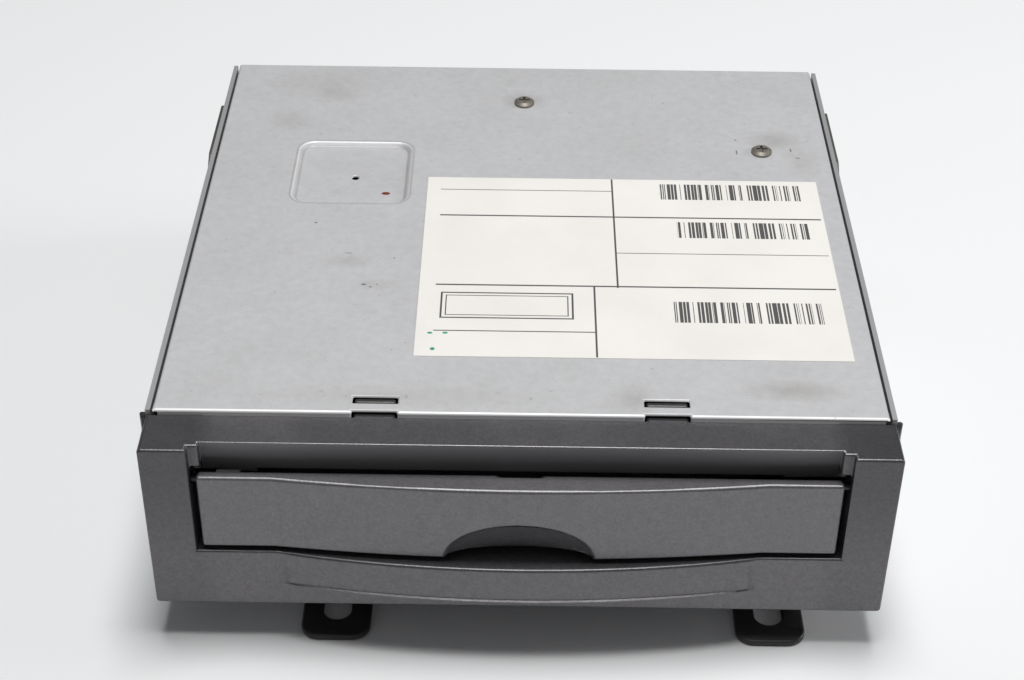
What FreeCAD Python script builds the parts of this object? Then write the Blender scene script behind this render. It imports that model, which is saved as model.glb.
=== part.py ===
import FreeCAD, Part
import math
import os

import Sketcher
from FreeCAD import Placement, Rotation, Vector

doc = FreeCAD.newDocument("disc_reader")

# Driving dimensions in millimetres, one row each: name, value, what it measures.
DIMENSIONS = [
    ("casing_width", 178, "over the side walls"),
    ("casing_height", 50, "from the tray's underside to the top of the cover"),
    ("casing_depth", 169.6, "from the back of the bezel to the rear of the cover"),
    ("foot_drop", 10.7, "from the tray's underside down to the floor"),
    ("tray_sheet", 1.2, "sheet of the tray"),
    ("cover_sheet", 0.8, "sheet of the cover"),
    ("panel_sheet", 1.0, "sheet of the front and rear panels"),
    ("cover_gap", 0.5, "between the cover's edge and the side wall"),
    ("flange_drop", 7, "how far the cover's side flanges reach down"),
    ("hook_slot_inner", 29.3, "middle of the cover to the near end of a hook slot"),
    ("hook_slot_wide", 10.9, "length of a hook slot"),
    ("hook_slot_back", 3.7, "cover's front edge to the slot"),
    ("hook_slot_deep", 2.5, "width of a hook slot"),
    ("relief_half", 83.3, "middle to the bend relief at the rear"),
    ("pad_x", 48.0, "pressed pad: left of the middle"),
    ("pad_y", 121.5, "pressed pad: behind the front"),
    ("pad_size", 32.4, "pressed pad: side"),
    ("pad_radius", 4.6, "pressed pad: corner"),
    ("pad_deep", 1.2, "pressed pad: depth"),
    ("pad_hole_radius", 0.95, "locating hole in the pad"),
    ("rear_screw_y", 161, "cover screw near the rear"),
    ("side_screw_x", 68.1, "cover screw at the right"),
    ("side_screw_y", 134.6, "cover screw at the right"),
    ("label_x", 27.6, "middle of the label right of the middle"),
    ("label_y", 77.4, "middle of the label behind the front"),
    ("label_wide", 108.4, "label"),
    ("label_long", 82.9, "label"),
    ("label_thick", 0.12, "label"),
    ("bezel_height", 48.6, "bezel"),
    ("bezel_depth", 13.5, "bezel"),
    ("bezel_drop", 1.2, "bezel's top below the cover's top"),
    ("bezel_wall", 2.2, "bezel"),
    ("bezel_corner", 1.0, "bezel's corners"),
    ("doorway_half", 77.6, "middle to the pillar's inner face"),
    ("cheek_half", 75, "middle to the inner edge of the cheek strip"),
    ("cheek_back", 1.9, "front plane to the cheek strips"),
    ("cheek_drop", 6.4, "bezel's top to the strips' lower ends"),
    ("lintel_back", 3.0, "front plane to the lintel's edge"),
    ("chamber_back", 6.8, "front plane to the wall behind the flap"),
    ("chamber_wall", 2.0, "wall behind the flap"),
    ("lip_drop", 31.3, "bezel's top to the lip"),
    ("swell_half", 58.5, "half the length of the curved stretch"),
    ("lip_swell", 6.15, "how far the lip bows forward"),
    ("crease_end_drop", 41.0, "bezel's top to the ends of the crease"),
    ("crease_mid_drop", 47.2, "bezel's top to the middle of the crease"),
    ("disc_slot_half", 62.5, "half the length of the disc slot"),
    ("disc_slot_drop", 14, "bezel's top to the middle of the disc slot"),
    ("disc_slot_high", 6, "height of the disc slot"),
    ("flap_half", 76.05, "half the length of the flap"),
    ("flap_drop", 8.6, "bezel's top to the flap's top"),
    ("flap_high", 21.5, "flap"),
    ("flap_front", 0.4, "front plane to the flap's flat ends"),
    ("flap_thick", 2.9, "flap at its flat ends"),
    ("flap_swell", 3.4, "how far the flap bows forward"),
    ("scoop_half", 17.9, "half the width of the finger scoop"),
    ("scoop_high", 10.7, "finger scoop"),
    ("scoop_deep", 4.6, "finger scoop"),
    ("hinge_back", 3.6, "front plane to the hinge axis"),
    ("hinge_drop", 11, "bezel's top to the hinge axis"),
    ("hinge_pin_radius", 1.0, "hinge pin"),
    ("hinge_lug_radius", 2.4, "flap's lug round the pin"),
    ("hinge_lug_wide", 3.8, "flap's lug along the pin"),
    ("running_gap", 0.05, "round a shaft that turns or slides"),
    ("flap_spring_wire", 0.4, "flap's torsion spring"),
    ("flap_spring_radius", 1.55, "flap's torsion spring, middle of the wire"),
    ("flap_spring_pitch", 0.9, "flap's torsion spring"),
    ("button_x", 70, "eject button right of the middle"),
    ("button_drop", 20, "bezel's top to the eject button"),
    ("button_wide", 8, "eject button"),
    ("button_high", 4, "eject button"),
    ("button_stand", 1.8, "eject button in front of the wall"),
    ("button_gap", 0.15, "round the button in its hole"),
    ("button_travel", 0.8, "how far the button goes in"),
    ("bracket_sheet", 1.6, "sheet of the mounting bracket's straps"),
    ("wing_sheet", 2.0, "sheet of the bracket's wings"),
    ("wing_gap", 0.3, "casing wall to the wing"),
    ("wing_front", 131, "front of the wing behind the front plane"),
    ("wing_rear", 166, "rear of the wing behind the front plane"),
    ("wing_drop", 3.5, "bezel's top to the wing's top"),
    ("foot_reach", 1.5, "foot in front of the front plane"),
    ("foot_wide", 17.3, "foot"),
    ("foot_long", 20, "foot from tip to leg"),
    ("foot_left_x", -45.5, "left foot"),
    ("foot_right_x", 63.0, "right foot"),
    ("foot_corner", 4.5, "foot's corner"),
    ("foot_slot_wide", 7, "slot in the foot"),
    ("foot_slot_long", 10, "slot in the foot"),
    ("foot_slot_edge", 5.9, "foot's tip to the slot"),
    ("strap_screw_front", 45, "front screws of the straps behind the front plane"),
    ("strap_screw_rear", 155, "rear screws of the straps behind the front plane"),
    ("rear_foot_y", 182, "tip of a rear foot behind the front plane"),
    ("socket_reach", 8, "antenna socket behind the cover"),
    ("frame_half", 74, "half the width of the loader frame"),
    ("frame_sheet", 1.2, "sheet of the loader frame"),
    ("frame_front", 20, "front of the loader frame"),
    ("frame_rear", 172, "rear of the loader frame"),
    ("frame_rise", 12.1, "tray's floor to the loader frame"),
    ("frame_high", 32.8, "loader frame"),
    ("frame_flange", 14, "loader frame's top flange"),
    ("floor_hole_half", 46, "hole in the frame's floor"),
    ("cross_front", 58, "front cross member behind the front plane"),
    ("cross_deep", 14, "cross members"),
    ("cross_rear", 156, "rear cross member behind the front plane"),
    ("traverse_rise", 3.8, "frame's floor to the traverse plate"),
    ("traverse_half", 60, "half the width of the traverse plate"),
    ("traverse_front", 70, "front of the traverse plate"),
    ("traverse_rear", 169, "rear of the traverse plate"),
    ("damper_x", 54, "rubber damper from the middle"),
    ("damper_radius", 6, "rubber damper"),
    ("damper_neck", 4, "rubber damper's neck"),
    ("spindle_y", 90, "spindle behind the front plane"),
    ("stator_radius", 13, "spindle motor"),
    ("stator_high", 4.8, "spindle motor"),
    ("rotor_radius", 14, "turntable"),
    ("disc_seat_drop", 3, "disc's path down to the turntable's seat"),
    ("nose_radius", 7.4, "turntable's nose"),
    ("nose_high", 1.3, "turntable's nose"),
    ("spindle_radius", 1.0, "spindle"),
    ("sled_front", 101, "pickup sled behind the front plane"),
    ("sled_long", 28, "pickup sled"),
    ("sled_half", 31, "half the width of the pickup sled"),
    ("sled_high", 7.7, "pickup sled"),
    ("sled_travel", 34, "pickup sled"),
    ("sled_keel_half", 12, "part of the sled below its rods"),
    ("rod_x", 27, "guide rod from the middle"),
    ("rod_radius", 1.5, "guide rod"),
    ("rod_rise", 3.8, "traverse plate to a guide rod"),
    ("screw_x", 38, "lead screw"),
    ("screw_rise", 5.8, "traverse plate to the lead screw"),
    ("screw_radius", 1.5, "lead screw"),
    ("sled_motor_radius", 5.5, "sled motor"),
    ("sled_motor_long", 20, "sled motor"),
    ("lens_radius", 2.2, "objective lens"),
    ("lens_from_spindle", 24, "objective lens at rest"),
    ("arm_half", 22, "half the width of the clamp arm"),
    ("arm_front", 74, "front of the clamp arm"),
    ("arm_sheet", 1.2, "sheet of the clamp arm"),
    ("arm_clear", 5.9, "disc's path up to the clamp arm"),
    ("arm_hinge_y", 153, "clamp arm's hinge"),
    ("arm_pin_half", 47, "half the length of the clamp arm's pin"),
    ("arm_pin_radius", 1.5, "clamp arm's pin"),
    ("knuckle_radius", 3.0, "rolled knuckle of the clamp arm"),
    ("knuckle_half", 40, "half the length of the knuckle"),
    ("knuckle_gap_half", 7, "half the gap for the clamp spring"),
    ("clamp_spring_wire", 0.6, "clamp arm's torsion spring"),
    ("clamp_spring_radius", 2.4, "clamp arm's torsion spring, middle of the wire"),
    ("clamp_spring_pitch", 1.5, "clamp arm's torsion spring"),
    ("puck_radius", 14, "disc clamp"),
    ("puck_high", 2.3, "disc clamp"),
    ("puck_clear", 1.7, "disc's path up to the disc clamp"),
    ("puck_neck", 6.0, "disc clamp's neck"),
    ("roller_y", 24.5, "feed roller behind the front plane"),
    ("roller_radius", 3.8, "feed roller's rubber"),
    ("roller_gap", 0.9, "feed roller below the middle of the disc's path"),
    ("roller_shaft_radius", 2.0, "feed roller's shaft"),
    ("gear_module", 0.5, "feed gears"),
    ("gear_thick", 3.2, "feed gears"),
    ("gear_side", 2.4, "frame's side to the gears"),
    ("feed_motor_z_drop", 7.8, "roller's axis down to the feed motor's"),
    ("feed_motor_radius", 7, "feed motor"),
    ("feed_motor_long", 24, "feed motor"),
    ("guide_clear", 1.9, "disc's path up to the disc guide"),
    ("guide_thick", 1.6, "disc guide"),
    ("lever_x", 46, "sensing lever's pivot from the middle"),
    ("lever_y", 66, "sensing lever's pivot behind the front plane"),
    ("lever_long", 22, "sensing lever"),
    ("lever_lean", 27, "sensing lever's lean outwards in degrees"),
    ("lever_thick", 1.2, "sensing lever"),
    ("lever_pin_radius", 1.5, "sensing lever's pins"),
    ("board_rise", 4.1, "tray's floor to the main board"),
    ("board_front", 26, "front of the main board"),
    ("board_rear", 178, "rear of the main board"),
    ("board_thick", 1.6, "main board"),
    ("screw_head_radius", 2.95, "head of a case screw"),
    ("screw_head_high", 1.3, "head of a case screw"),
    ("screw_shank_radius", 1.5, "case screw"),
    ("screw_hole_gap", 0.1, "round a screw in its hole"),
]

sheet = doc.addObject("Spreadsheet::Sheet", "sizes")
for row, (name, number, meaning) in enumerate(DIMENSIONS, start=1):
    sheet.set("A%d" % row, meaning)
    sheet.set("B%d" % row, str(number))
    sheet.setAlias("B%d" % row, name)
doc.recompute()


class Size:
    """A length with its value and the formula that ties it to the sheet."""

    def __init__(self, value, text):
        self.value = float(value)
        self.text = text

    def __add__(self, other):
        other = as_size(other)
        return Size(self.value + other.value, "(%s + %s)" % (self.text, other.text))

    def __sub__(self, other):
        other = as_size(other)
        return Size(self.value - other.value, "(%s - %s)" % (self.text, other.text))

    def __mul__(self, other):
        other = as_size(other)
        return Size(self.value * other.value, "(%s * %s)" % (self.text, other.text))

    def __truediv__(self, other):
        other = as_size(other)
        return Size(self.value / other.value, "(%s / %s)" % (self.text, other.text))

    def __radd__(self, other):
        return as_size(other) + self

    def __rsub__(self, other):
        return as_size(other) - self

    def __rmul__(self, other):
        return as_size(other) * self

    def __neg__(self):
        return Size(-self.value, "(0 - %s)" % self.text)


def as_size(number):
    """A plain number as a Size; a Size as it is."""
    if isinstance(number, Size):
        return number
    return Size(number, "(%s)" % repr(float(number)))


class Sheet:
    """The driving dimensions, read back from the sheet by name."""


dims = Sheet()
for name, number, meaning in DIMENSIONS:
    setattr(dims, name, Size(float(sheet.get(name)), "sizes." + name))

parts = {}


def root(size):
    """The square root of a size."""
    return Size(math.sqrt(size.value), "sqrt(%s)" % size.text)


def sine(degrees):
    """The sine of a number of degrees."""
    return Size(math.sin(math.radians(degrees.value)), "sin(%s * 1 deg)" % degrees.text)


def cosine(degrees):
    """The cosine of a number of degrees."""
    return Size(math.cos(math.radians(degrees.value)), "cos(%s * 1 deg)" % degrees.text)


def bind(thing, prop, size):
    """Tie one property of an object to the sheet."""
    thing.setExpression(prop, as_size(size).text)


def keep(name, thing):
    """Name a finished sub-part and list it for export."""
    thing.Label = name
    parts[name] = thing
    return thing


def new_body(name):
    """An empty body named for its sub-part."""
    return keep(name, doc.addObject("PartDesign::Body", name + "_body"))


def new_sketch(body, plane, offset):
    """A sketch on one of the body's own planes, moved along its normal."""
    sketch = body.newObject("Sketcher::SketchObject", "outline")
    for feature in body.Origin.OriginFeatures:
        if feature.Role == plane:
            sketch.AttachmentSupport = [(feature, "")]
    sketch.MapMode = "FlatFace"
    bind(sketch, "AttachmentOffset.Base.z", offset)
    return sketch


def fix_point(sketch, index, end, x, y):
    """Hold one point of a sketch at a place measured from its origin."""
    for kind, size in (("DistanceX", x), ("DistanceY", y)):
        size = as_size(size)
        number = sketch.addConstraint(Sketcher.Constraint(kind, -1, 1, index, end, size.value))
        sketch.setExpression("Constraints[%d]" % number, size.text)


def draw_polygon(sketch, points):
    """A closed outline of straight lines with every corner tied to the sheet."""
    places = [(as_size(x), as_size(y)) for x, y in points]
    first = None
    for number, (x, y) in enumerate(places):
        nx, ny = places[(number + 1) % len(places)]
        start = Vector(x.value, y.value, 0)
        end = Vector(nx.value, ny.value, 0)
        index = sketch.addGeometry(Part.LineSegment(start, end))
        if first is None:
            first = index
        fix_point(sketch, index, 1, x, y)
    for number in range(len(places)):
        after = first + (number + 1) % len(places)
        sketch.addConstraint(Sketcher.Constraint("Coincident", first + number, 2, after, 1))


def draw_rectangle(sketch, xs, ys):
    """A rectangle between two pairs of sizes."""
    draw_polygon(sketch, [(xs[0], ys[0]), (xs[1], ys[0]), (xs[1], ys[1]), (xs[0], ys[1])])


def draw_circle(sketch, x, y, radius):
    """A circle with its centre and radius tied to the sheet."""
    x, y, radius = as_size(x), as_size(y), as_size(radius)
    circle = Part.Circle(Vector(x.value, y.value, 0), Vector(0, 0, 1), radius.value)
    index = sketch.addGeometry(circle)
    fix_point(sketch, index, 3, x, y)
    number = sketch.addConstraint(Sketcher.Constraint("Radius", index, radius.value))
    sketch.setExpression("Constraints[%d]" % number, radius.text)


def draw_rounded(sketch, xs, ys, radius):
    """A rectangle with tangent arcs of one radius at its corners."""
    x0, x1 = as_size(xs[0]), as_size(xs[1])
    y0, y1 = as_size(ys[0]), as_size(ys[1])
    radius = as_size(radius)
    a, b, c, d, r = x0.value, x1.value, y0.value, y1.value, radius.value
    sides = [
        (Vector(a + r, c, 0), Vector(b - r, c, 0)),
        (Vector(b, c + r, 0), Vector(b, d - r, 0)),
        (Vector(b - r, d, 0), Vector(a + r, d, 0)),
        (Vector(a, d - r, 0), Vector(a, c + r, 0)),
    ]
    centres = [(b - r, c + r, -90), (b - r, d - r, 0), (a + r, d - r, 90), (a + r, c + r, 180)]
    lines = [sketch.addGeometry(Part.LineSegment(*side)) for side in sides]
    arcs = []
    for x, y, turn in centres:
        circle = Part.Circle(Vector(x, y, 0), Vector(0, 0, 1), r)
        arcs.append(sketch.addGeometry(
            Part.ArcOfCircle(circle, math.radians(turn), math.radians(turn + 90))))
    for number, line in enumerate(lines):
        after = lines[(number + 1) % 4]
        sketch.addConstraint(Sketcher.Constraint("Tangent", line, 2, arcs[number], 1))
        sketch.addConstraint(Sketcher.Constraint("Tangent", arcs[number], 2, after, 1))
        kind = "Horizontal" if number % 2 == 0 else "Vertical"
        sketch.addConstraint(Sketcher.Constraint(kind, line))
    for line, kind, size in ((lines[0], "DistanceY", y0), (lines[1], "DistanceX", x1),
                             (lines[2], "DistanceY", y1), (lines[3], "DistanceX", x0)):
        number = sketch.addConstraint(Sketcher.Constraint(kind, -1, 1, line, 1, size.value))
        sketch.setExpression("Constraints[%d]" % number, size.text)
    for arc in arcs[1:]:
        sketch.addConstraint(Sketcher.Constraint("Equal", arcs[0], arc))
    number = sketch.addConstraint(Sketcher.Constraint("Radius", arcs[0], r))
    sketch.setExpression("Constraints[%d]" % number, radius.text)


def raise_pad(body, plane, low, high, draw):
    """Add material between two heights along a plane's axis."""
    low, high = as_size(low), as_size(high)
    if plane == "XZ_Plane":
        sketch = new_sketch(body, plane, -high)
    else:
        sketch = new_sketch(body, plane, low)
    draw(sketch)
    pad = body.newObject("PartDesign::Pad", "pad")
    pad.Profile = sketch
    bind(pad, "Length", high - low)
    doc.recompute([body])
    return pad


def sink_pocket(body, plane, low, high, draw):
    """Remove material between two heights along a plane's axis."""
    low, high = as_size(low), as_size(high)
    if plane == "XZ_Plane":
        sketch = new_sketch(body, plane, -low)
    else:
        sketch = new_sketch(body, plane, high)
    draw(sketch)
    before = body.Shape.Volume
    pocket = body.newObject("PartDesign::Pocket", "pocket")
    pocket.Profile = sketch
    bind(pocket, "Length", high - low)
    doc.recompute([body])
    if body.Shape.Volume >= before:
        raise ValueError("a pocket in %s cuts nothing" % body.Label)
    return pocket


def round_corners(body, radius, test):
    """Round every edge of the body that passes a test."""
    chosen = []
    for number, edge in enumerate(body.Shape.Edges, start=1):
        if test(edge):
            chosen.append("Edge%d" % number)
    base = body.Tip
    fillet = body.newObject("PartDesign::Fillet", "rounding")
    fillet.Base = (base, chosen)
    bind(fillet, "Radius", radius)
    doc.recompute([body])
    return fillet


def box_outline(xs, ys):
    """A drawing function for a rectangle."""
    return lambda sketch: draw_rectangle(sketch, xs, ys)


def round_outline(x, y, radius):
    """A drawing function for a circle."""
    return lambda sketch: draw_circle(sketch, x, y, radius)


def rounded_outline(xs, ys, radius):
    """A drawing function for a rectangle with round corners."""
    return lambda sketch: draw_rounded(sketch, xs, ys, radius)


def polygon_outline(points):
    """A drawing function for a polygon."""
    return lambda sketch: draw_polygon(sketch, points)


def block(xs, ys, zs):
    """A box between three pairs of sizes."""
    box = doc.addObject("Part::Box", "block")
    for prop, pair in (("Length", xs), ("Width", ys), ("Height", zs)):
        bind(box, prop, as_size(pair[1]) - pair[0])
    for axis, pair in zip("xyz", (xs, ys, zs)):
        bind(box, "Placement.Base." + axis, pair[0])
    return box


TURNS = {
    "x": Rotation(Vector(0, 1, 0), 90),
    "y": Rotation(Vector(1, 0, 0), -90),
    "z": Rotation(),
}


def cylinder(axis, place, low, high, radius):
    """A round bar along an axis, at a place across it, between two stations."""
    bar = doc.addObject("Part::Cylinder", "cylinder")
    bar.Placement = Placement(Vector(0, 0, 0), TURNS[axis])
    bind(bar, "Radius", radius)
    bind(bar, "Height", as_size(high) - low)
    across = iter(place)
    for name in "xyz":
        bind(bar, "Placement.Base." + name, low if name == axis else next(across))
    return bar


def cut(base, *tools):
    """One solid less the others."""
    result = doc.addObject("Part::Cut", "cut")
    result.Base = base
    result.Tool = tools[0] if len(tools) == 1 else group(*tools)
    return result


def fuse(*pieces):
    """Several solids made one."""
    result = doc.addObject("Part::MultiFuse", "fuse")
    result.Shapes = list(pieces)
    result.Refine = True
    return result


def group(*pieces):
    """Several separate solids in one sub-part."""
    result = doc.addObject("Part::Compound", "group")
    result.Links = list(pieces)
    return result


def from_shape(shape):
    """A sub-part whose form comes from a formula."""
    feature = doc.addObject("Part::Feature", "form")
    feature.Shape = shape
    return feature


# The front plane, the heights and the depths that the pieces share.
front = (dims.lip_swell - dims.bezel_depth - dims.casing_depth - dims.socket_reach) / 2
tray_bottom = dims.foot_drop
tray_floor = tray_bottom + dims.tray_sheet
cover_top = tray_bottom + dims.casing_height
cover_under = cover_top - dims.cover_sheet
bezel_top = cover_top - dims.bezel_drop
bezel_bottom = bezel_top - dims.bezel_height
bezel_rear = front + dims.bezel_depth
cover_rear = bezel_rear + dims.casing_depth
casing_half = dims.casing_width / 2
wall_inner = casing_half - dims.tray_sheet
lip_top = bezel_top - dims.lip_drop
disc_z = bezel_top - dims.disc_slot_drop
sheet_gap = as_size(0.3)

# Cover: a pressed sheet with turned-down flanges, hook slots and a sunk pad.
cover_half = wall_inner - dims.cover_gap
cover_front = bezel_rear + 0.1
flange_inner = cover_half - dims.cover_sheet
overlap = as_size(0.1)
front_flange_drop = as_size(3.4)
flange_top = cover_under + overlap
cover = new_body("top_cover")
raise_pad(cover, "XY_Plane", cover_under, cover_top,
          box_outline((-cover_half, cover_half), (cover_front, cover_rear)))
for low, high in ((-cover_half, -flange_inner), (flange_inner, cover_half)):
    raise_pad(cover, "XY_Plane", cover_under - dims.flange_drop, flange_top,
              box_outline((low, high), (cover_front + 3, cover_rear - 3)))
raise_pad(cover, "XY_Plane", cover_under - dims.flange_drop - 2, flange_top,
          box_outline((-dims.relief_half, dims.relief_half),
                      (cover_rear - dims.cover_sheet, cover_rear)))
raise_pad(cover, "XY_Plane", cover_under - front_flange_drop, flange_top,
          box_outline((-flange_inner, flange_inner), (cover_front, cover_front + dims.cover_sheet)))


def lies_at(height, reach):
    """A test for level edges at a height that stay within a reach of one another."""
    def test(edge):
        box = edge.BoundBox
        level = abs(box.ZMin - height.value) < 0.01 and abs(box.ZMax - height.value) < 0.01
        return level and box.XLength < reach.value and box.YLength < reach.value
    return test


round_corners(cover, dims.cover_sheet * 0.8, lies_at(cover_top, dims.casing_width * 2))
slot_front = cover_front + dims.hook_slot_back
slot_outer = dims.hook_slot_inner + dims.hook_slot_wide
slot_spans = ((-slot_outer, -dims.hook_slot_inner), (dims.hook_slot_inner, slot_outer))
for span in slot_spans:
    sink_pocket(cover, "XY_Plane", cover_under, cover_top,
                box_outline(span, (slot_front, slot_front + dims.hook_slot_deep)))
    sink_pocket(cover, "XZ_Plane", cover_front, cover_front + dims.cover_sheet,
                box_outline(span, (cover_under - front_flange_drop, cover_top)))
pad_half = dims.pad_size / 2
pad_xs = (-dims.pad_x - pad_half, -dims.pad_x + pad_half)
pad_ys = (front + dims.pad_y - pad_half, front + dims.pad_y + pad_half)
pad_lean = 45
raise_pad(cover, "XY_Plane", cover_under - dims.pad_deep, flange_top,
          rounded_outline(pad_xs, pad_ys, dims.pad_radius))
pressing = sink_pocket(cover, "XY_Plane", cover_top - dims.pad_deep, cover_top,
                       rounded_outline(pad_xs, pad_ys, dims.pad_radius))
pressing.TaperAngle = -pad_lean
doc.recompute([cover])
sink_pocket(cover, "XY_Plane", cover_under - dims.pad_deep, cover_top - dims.pad_deep,
            round_outline(-dims.pad_x + 0.75, front + dims.pad_y - 1.4, dims.pad_hole_radius))
cover_screw_places = [
    (as_size(0), front + dims.rear_screw_y),
    (dims.side_screw_x, front + dims.side_screw_y),
]
screw_hole = dims.screw_shank_radius + dims.screw_hole_gap
for x, y in cover_screw_places:
    sink_pocket(cover, "XY_Plane", cover_under, cover_top, round_outline(x, y, screw_hole))

# Label: a bare paper sticker on the cover.
label_half_x = dims.label_wide / 2
label_half_y = dims.label_long / 2
label_y = front + dims.label_y
keep("paper_label", block((dims.label_x - label_half_x, dims.label_x + label_half_x),
                          (label_y - label_half_y, label_y + label_half_y),
                          (cover_top, cover_top + dims.label_thick)))

# Tray: the floor and both side walls bent from one sheet, with bosses for the board.
tray_front = bezel_rear + 0.1
tray_rear = cover_rear - 1.2
board_z = tray_floor + dims.board_rise
post_radius = as_size(3)
post_inset = post_radius * 2
board_half = dims.frame_half - post_inset - post_radius - 1
board_hole_x = board_half - 4
board_hole_ys = (front + dims.board_front + 6, front + dims.board_rear - 12)
bracket_hole_ys = (front + dims.strap_screw_front, front + dims.strap_screw_rear)
wing_hole_y = front + (dims.wing_front + dims.wing_rear) / 2
wing_hole_z = bezel_top - dims.wing_drop - 10
wing_hole_ys = (wing_hole_y - 11, wing_hole_y + 11)
tray = new_body("chassis_tray")
raise_pad(tray, "XZ_Plane", tray_front, tray_rear,
          polygon_outline([(-casing_half, tray_bottom), (casing_half, tray_bottom),
                           (casing_half, cover_top), (wall_inner, cover_top),
                           (wall_inner, tray_floor), (-wall_inner, tray_floor),
                           (-wall_inner, cover_top), (-casing_half, cover_top)]))


def draw_board_holes(radius):
    """The four corner fixings of the main board."""
    def draw(sketch):
        for x in (-board_hole_x, board_hole_x):
            for y in board_hole_ys:
                draw_circle(sketch, x, y, radius)
    return draw


def draw_strap_holes(radius):
    """The four fixings of the bracket's straps."""
    def draw(sketch):
        for x in (dims.foot_left_x, dims.foot_right_x):
            for y in bracket_hole_ys:
                draw_circle(sketch, x, y, radius)
    return draw


def draw_wing_holes(radius):
    """The two fixings of a wing, seen from the side."""
    def draw(sketch):
        for y in wing_hole_ys:
            draw_circle(sketch, y, wing_hole_z, radius)
    return draw


raise_pad(tray, "XY_Plane", tray_floor, board_z, draw_board_holes(post_radius))
sink_pocket(tray, "XY_Plane", tray_bottom, board_z, draw_board_holes(screw_hole))
sink_pocket(tray, "XY_Plane", tray_bottom, tray_floor, draw_strap_holes(screw_hole))
for low in (-casing_half, wall_inner):
    sink_pocket(tray, "YZ_Plane", low, low + dims.tray_sheet, draw_wing_holes(screw_hole))

# Front and rear panels: flat sheets between the side walls.
panel_half = wall_inner - sheet_gap
panel_low = tray_floor + 0.2
front_panel_y = cover_front + dims.cover_sheet + 0.2
front_panel_top = cover_under - front_flange_drop - 0.3
slot_room = dims.disc_slot_high / 2 + 0.5
front_panel = new_body("front_panel")
raise_pad(front_panel, "XZ_Plane", front_panel_y, front_panel_y + dims.panel_sheet,
          box_outline((-panel_half, panel_half), (panel_low, front_panel_top)))
sink_pocket(front_panel, "XZ_Plane", front_panel_y, front_panel_y + dims.panel_sheet,
            box_outline((-dims.disc_slot_half - 1.5, dims.disc_slot_half + 1.5),
                        (disc_z - slot_room, disc_z + slot_room)))
rear_panel_y = tray_rear - 0.6 - dims.panel_sheet
power_wide = as_size(38)
data_wide = as_size(20)
socket_apart = as_size(10)
power_low = 4 - board_half
data_low = power_low + power_wide + socket_apart
power_xs = (power_low, power_low + power_wide)
data_xs = (data_low, data_low + data_wide)
antenna_x = data_xs[1] + socket_apart + 6
antenna_radius = as_size(5)
socket_low = board_z + dims.board_thick
power_zs = (socket_low, socket_low + 14)
data_zs = (socket_low, socket_low + 11)
antenna_z = socket_low + 7
cutout_gap = 0.3
rear_panel = new_body("rear_panel")
raise_pad(rear_panel, "XZ_Plane", rear_panel_y, rear_panel_y + dims.panel_sheet,
          box_outline((-panel_half, panel_half), (panel_low, cover_under - 0.3)))
for xs, zs in ((power_xs, power_zs), (data_xs, data_zs)):
    sink_pocket(rear_panel, "XZ_Plane", rear_panel_y, rear_panel_y + dims.panel_sheet,
                box_outline((xs[0] - cutout_gap, xs[1] + cutout_gap),
                            (zs[0] - cutout_gap, zs[1] + cutout_gap)))
sink_pocket(rear_panel, "XZ_Plane", rear_panel_y, rear_panel_y + dims.panel_sheet,
            round_outline(antenna_x, antenna_z, antenna_radius + cutout_gap))

# Bezel: a moulded front with pillars, a chamber for the flap and a bowed lower lip.
hinge_y = front + dims.hinge_back
hinge_z = bezel_top - dims.hinge_drop
chamber_rear = front + dims.chamber_back
wall_rear = chamber_rear + dims.chamber_wall
cavity_half = casing_half - dims.bezel_wall - 0.4
above = bezel_top + 1
bore_radius = dims.hinge_pin_radius + dims.running_gap
pillar_skin = dims.doorway_half + 2.6
bezel = doc.addObject("PartDesign::Body", "bezel_moulding")
raise_pad(bezel, "XZ_Plane", front, bezel_rear,
          rounded_outline((-casing_half, casing_half), (bezel_bottom, bezel_top), dims.bezel_corner))
sink_pocket(bezel, "XZ_Plane", front, front + dims.cheek_back,
            box_outline((-dims.doorway_half, dims.doorway_half), (lip_top, above)))
sink_pocket(bezel, "XZ_Plane", front, front + dims.lintel_back,
            box_outline((-dims.cheek_half, dims.cheek_half), (lip_top, above)))
sink_pocket(bezel, "XZ_Plane", front, chamber_rear,
            box_outline((-dims.doorway_half, dims.doorway_half),
                        (lip_top, bezel_top - dims.cheek_drop)))


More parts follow.
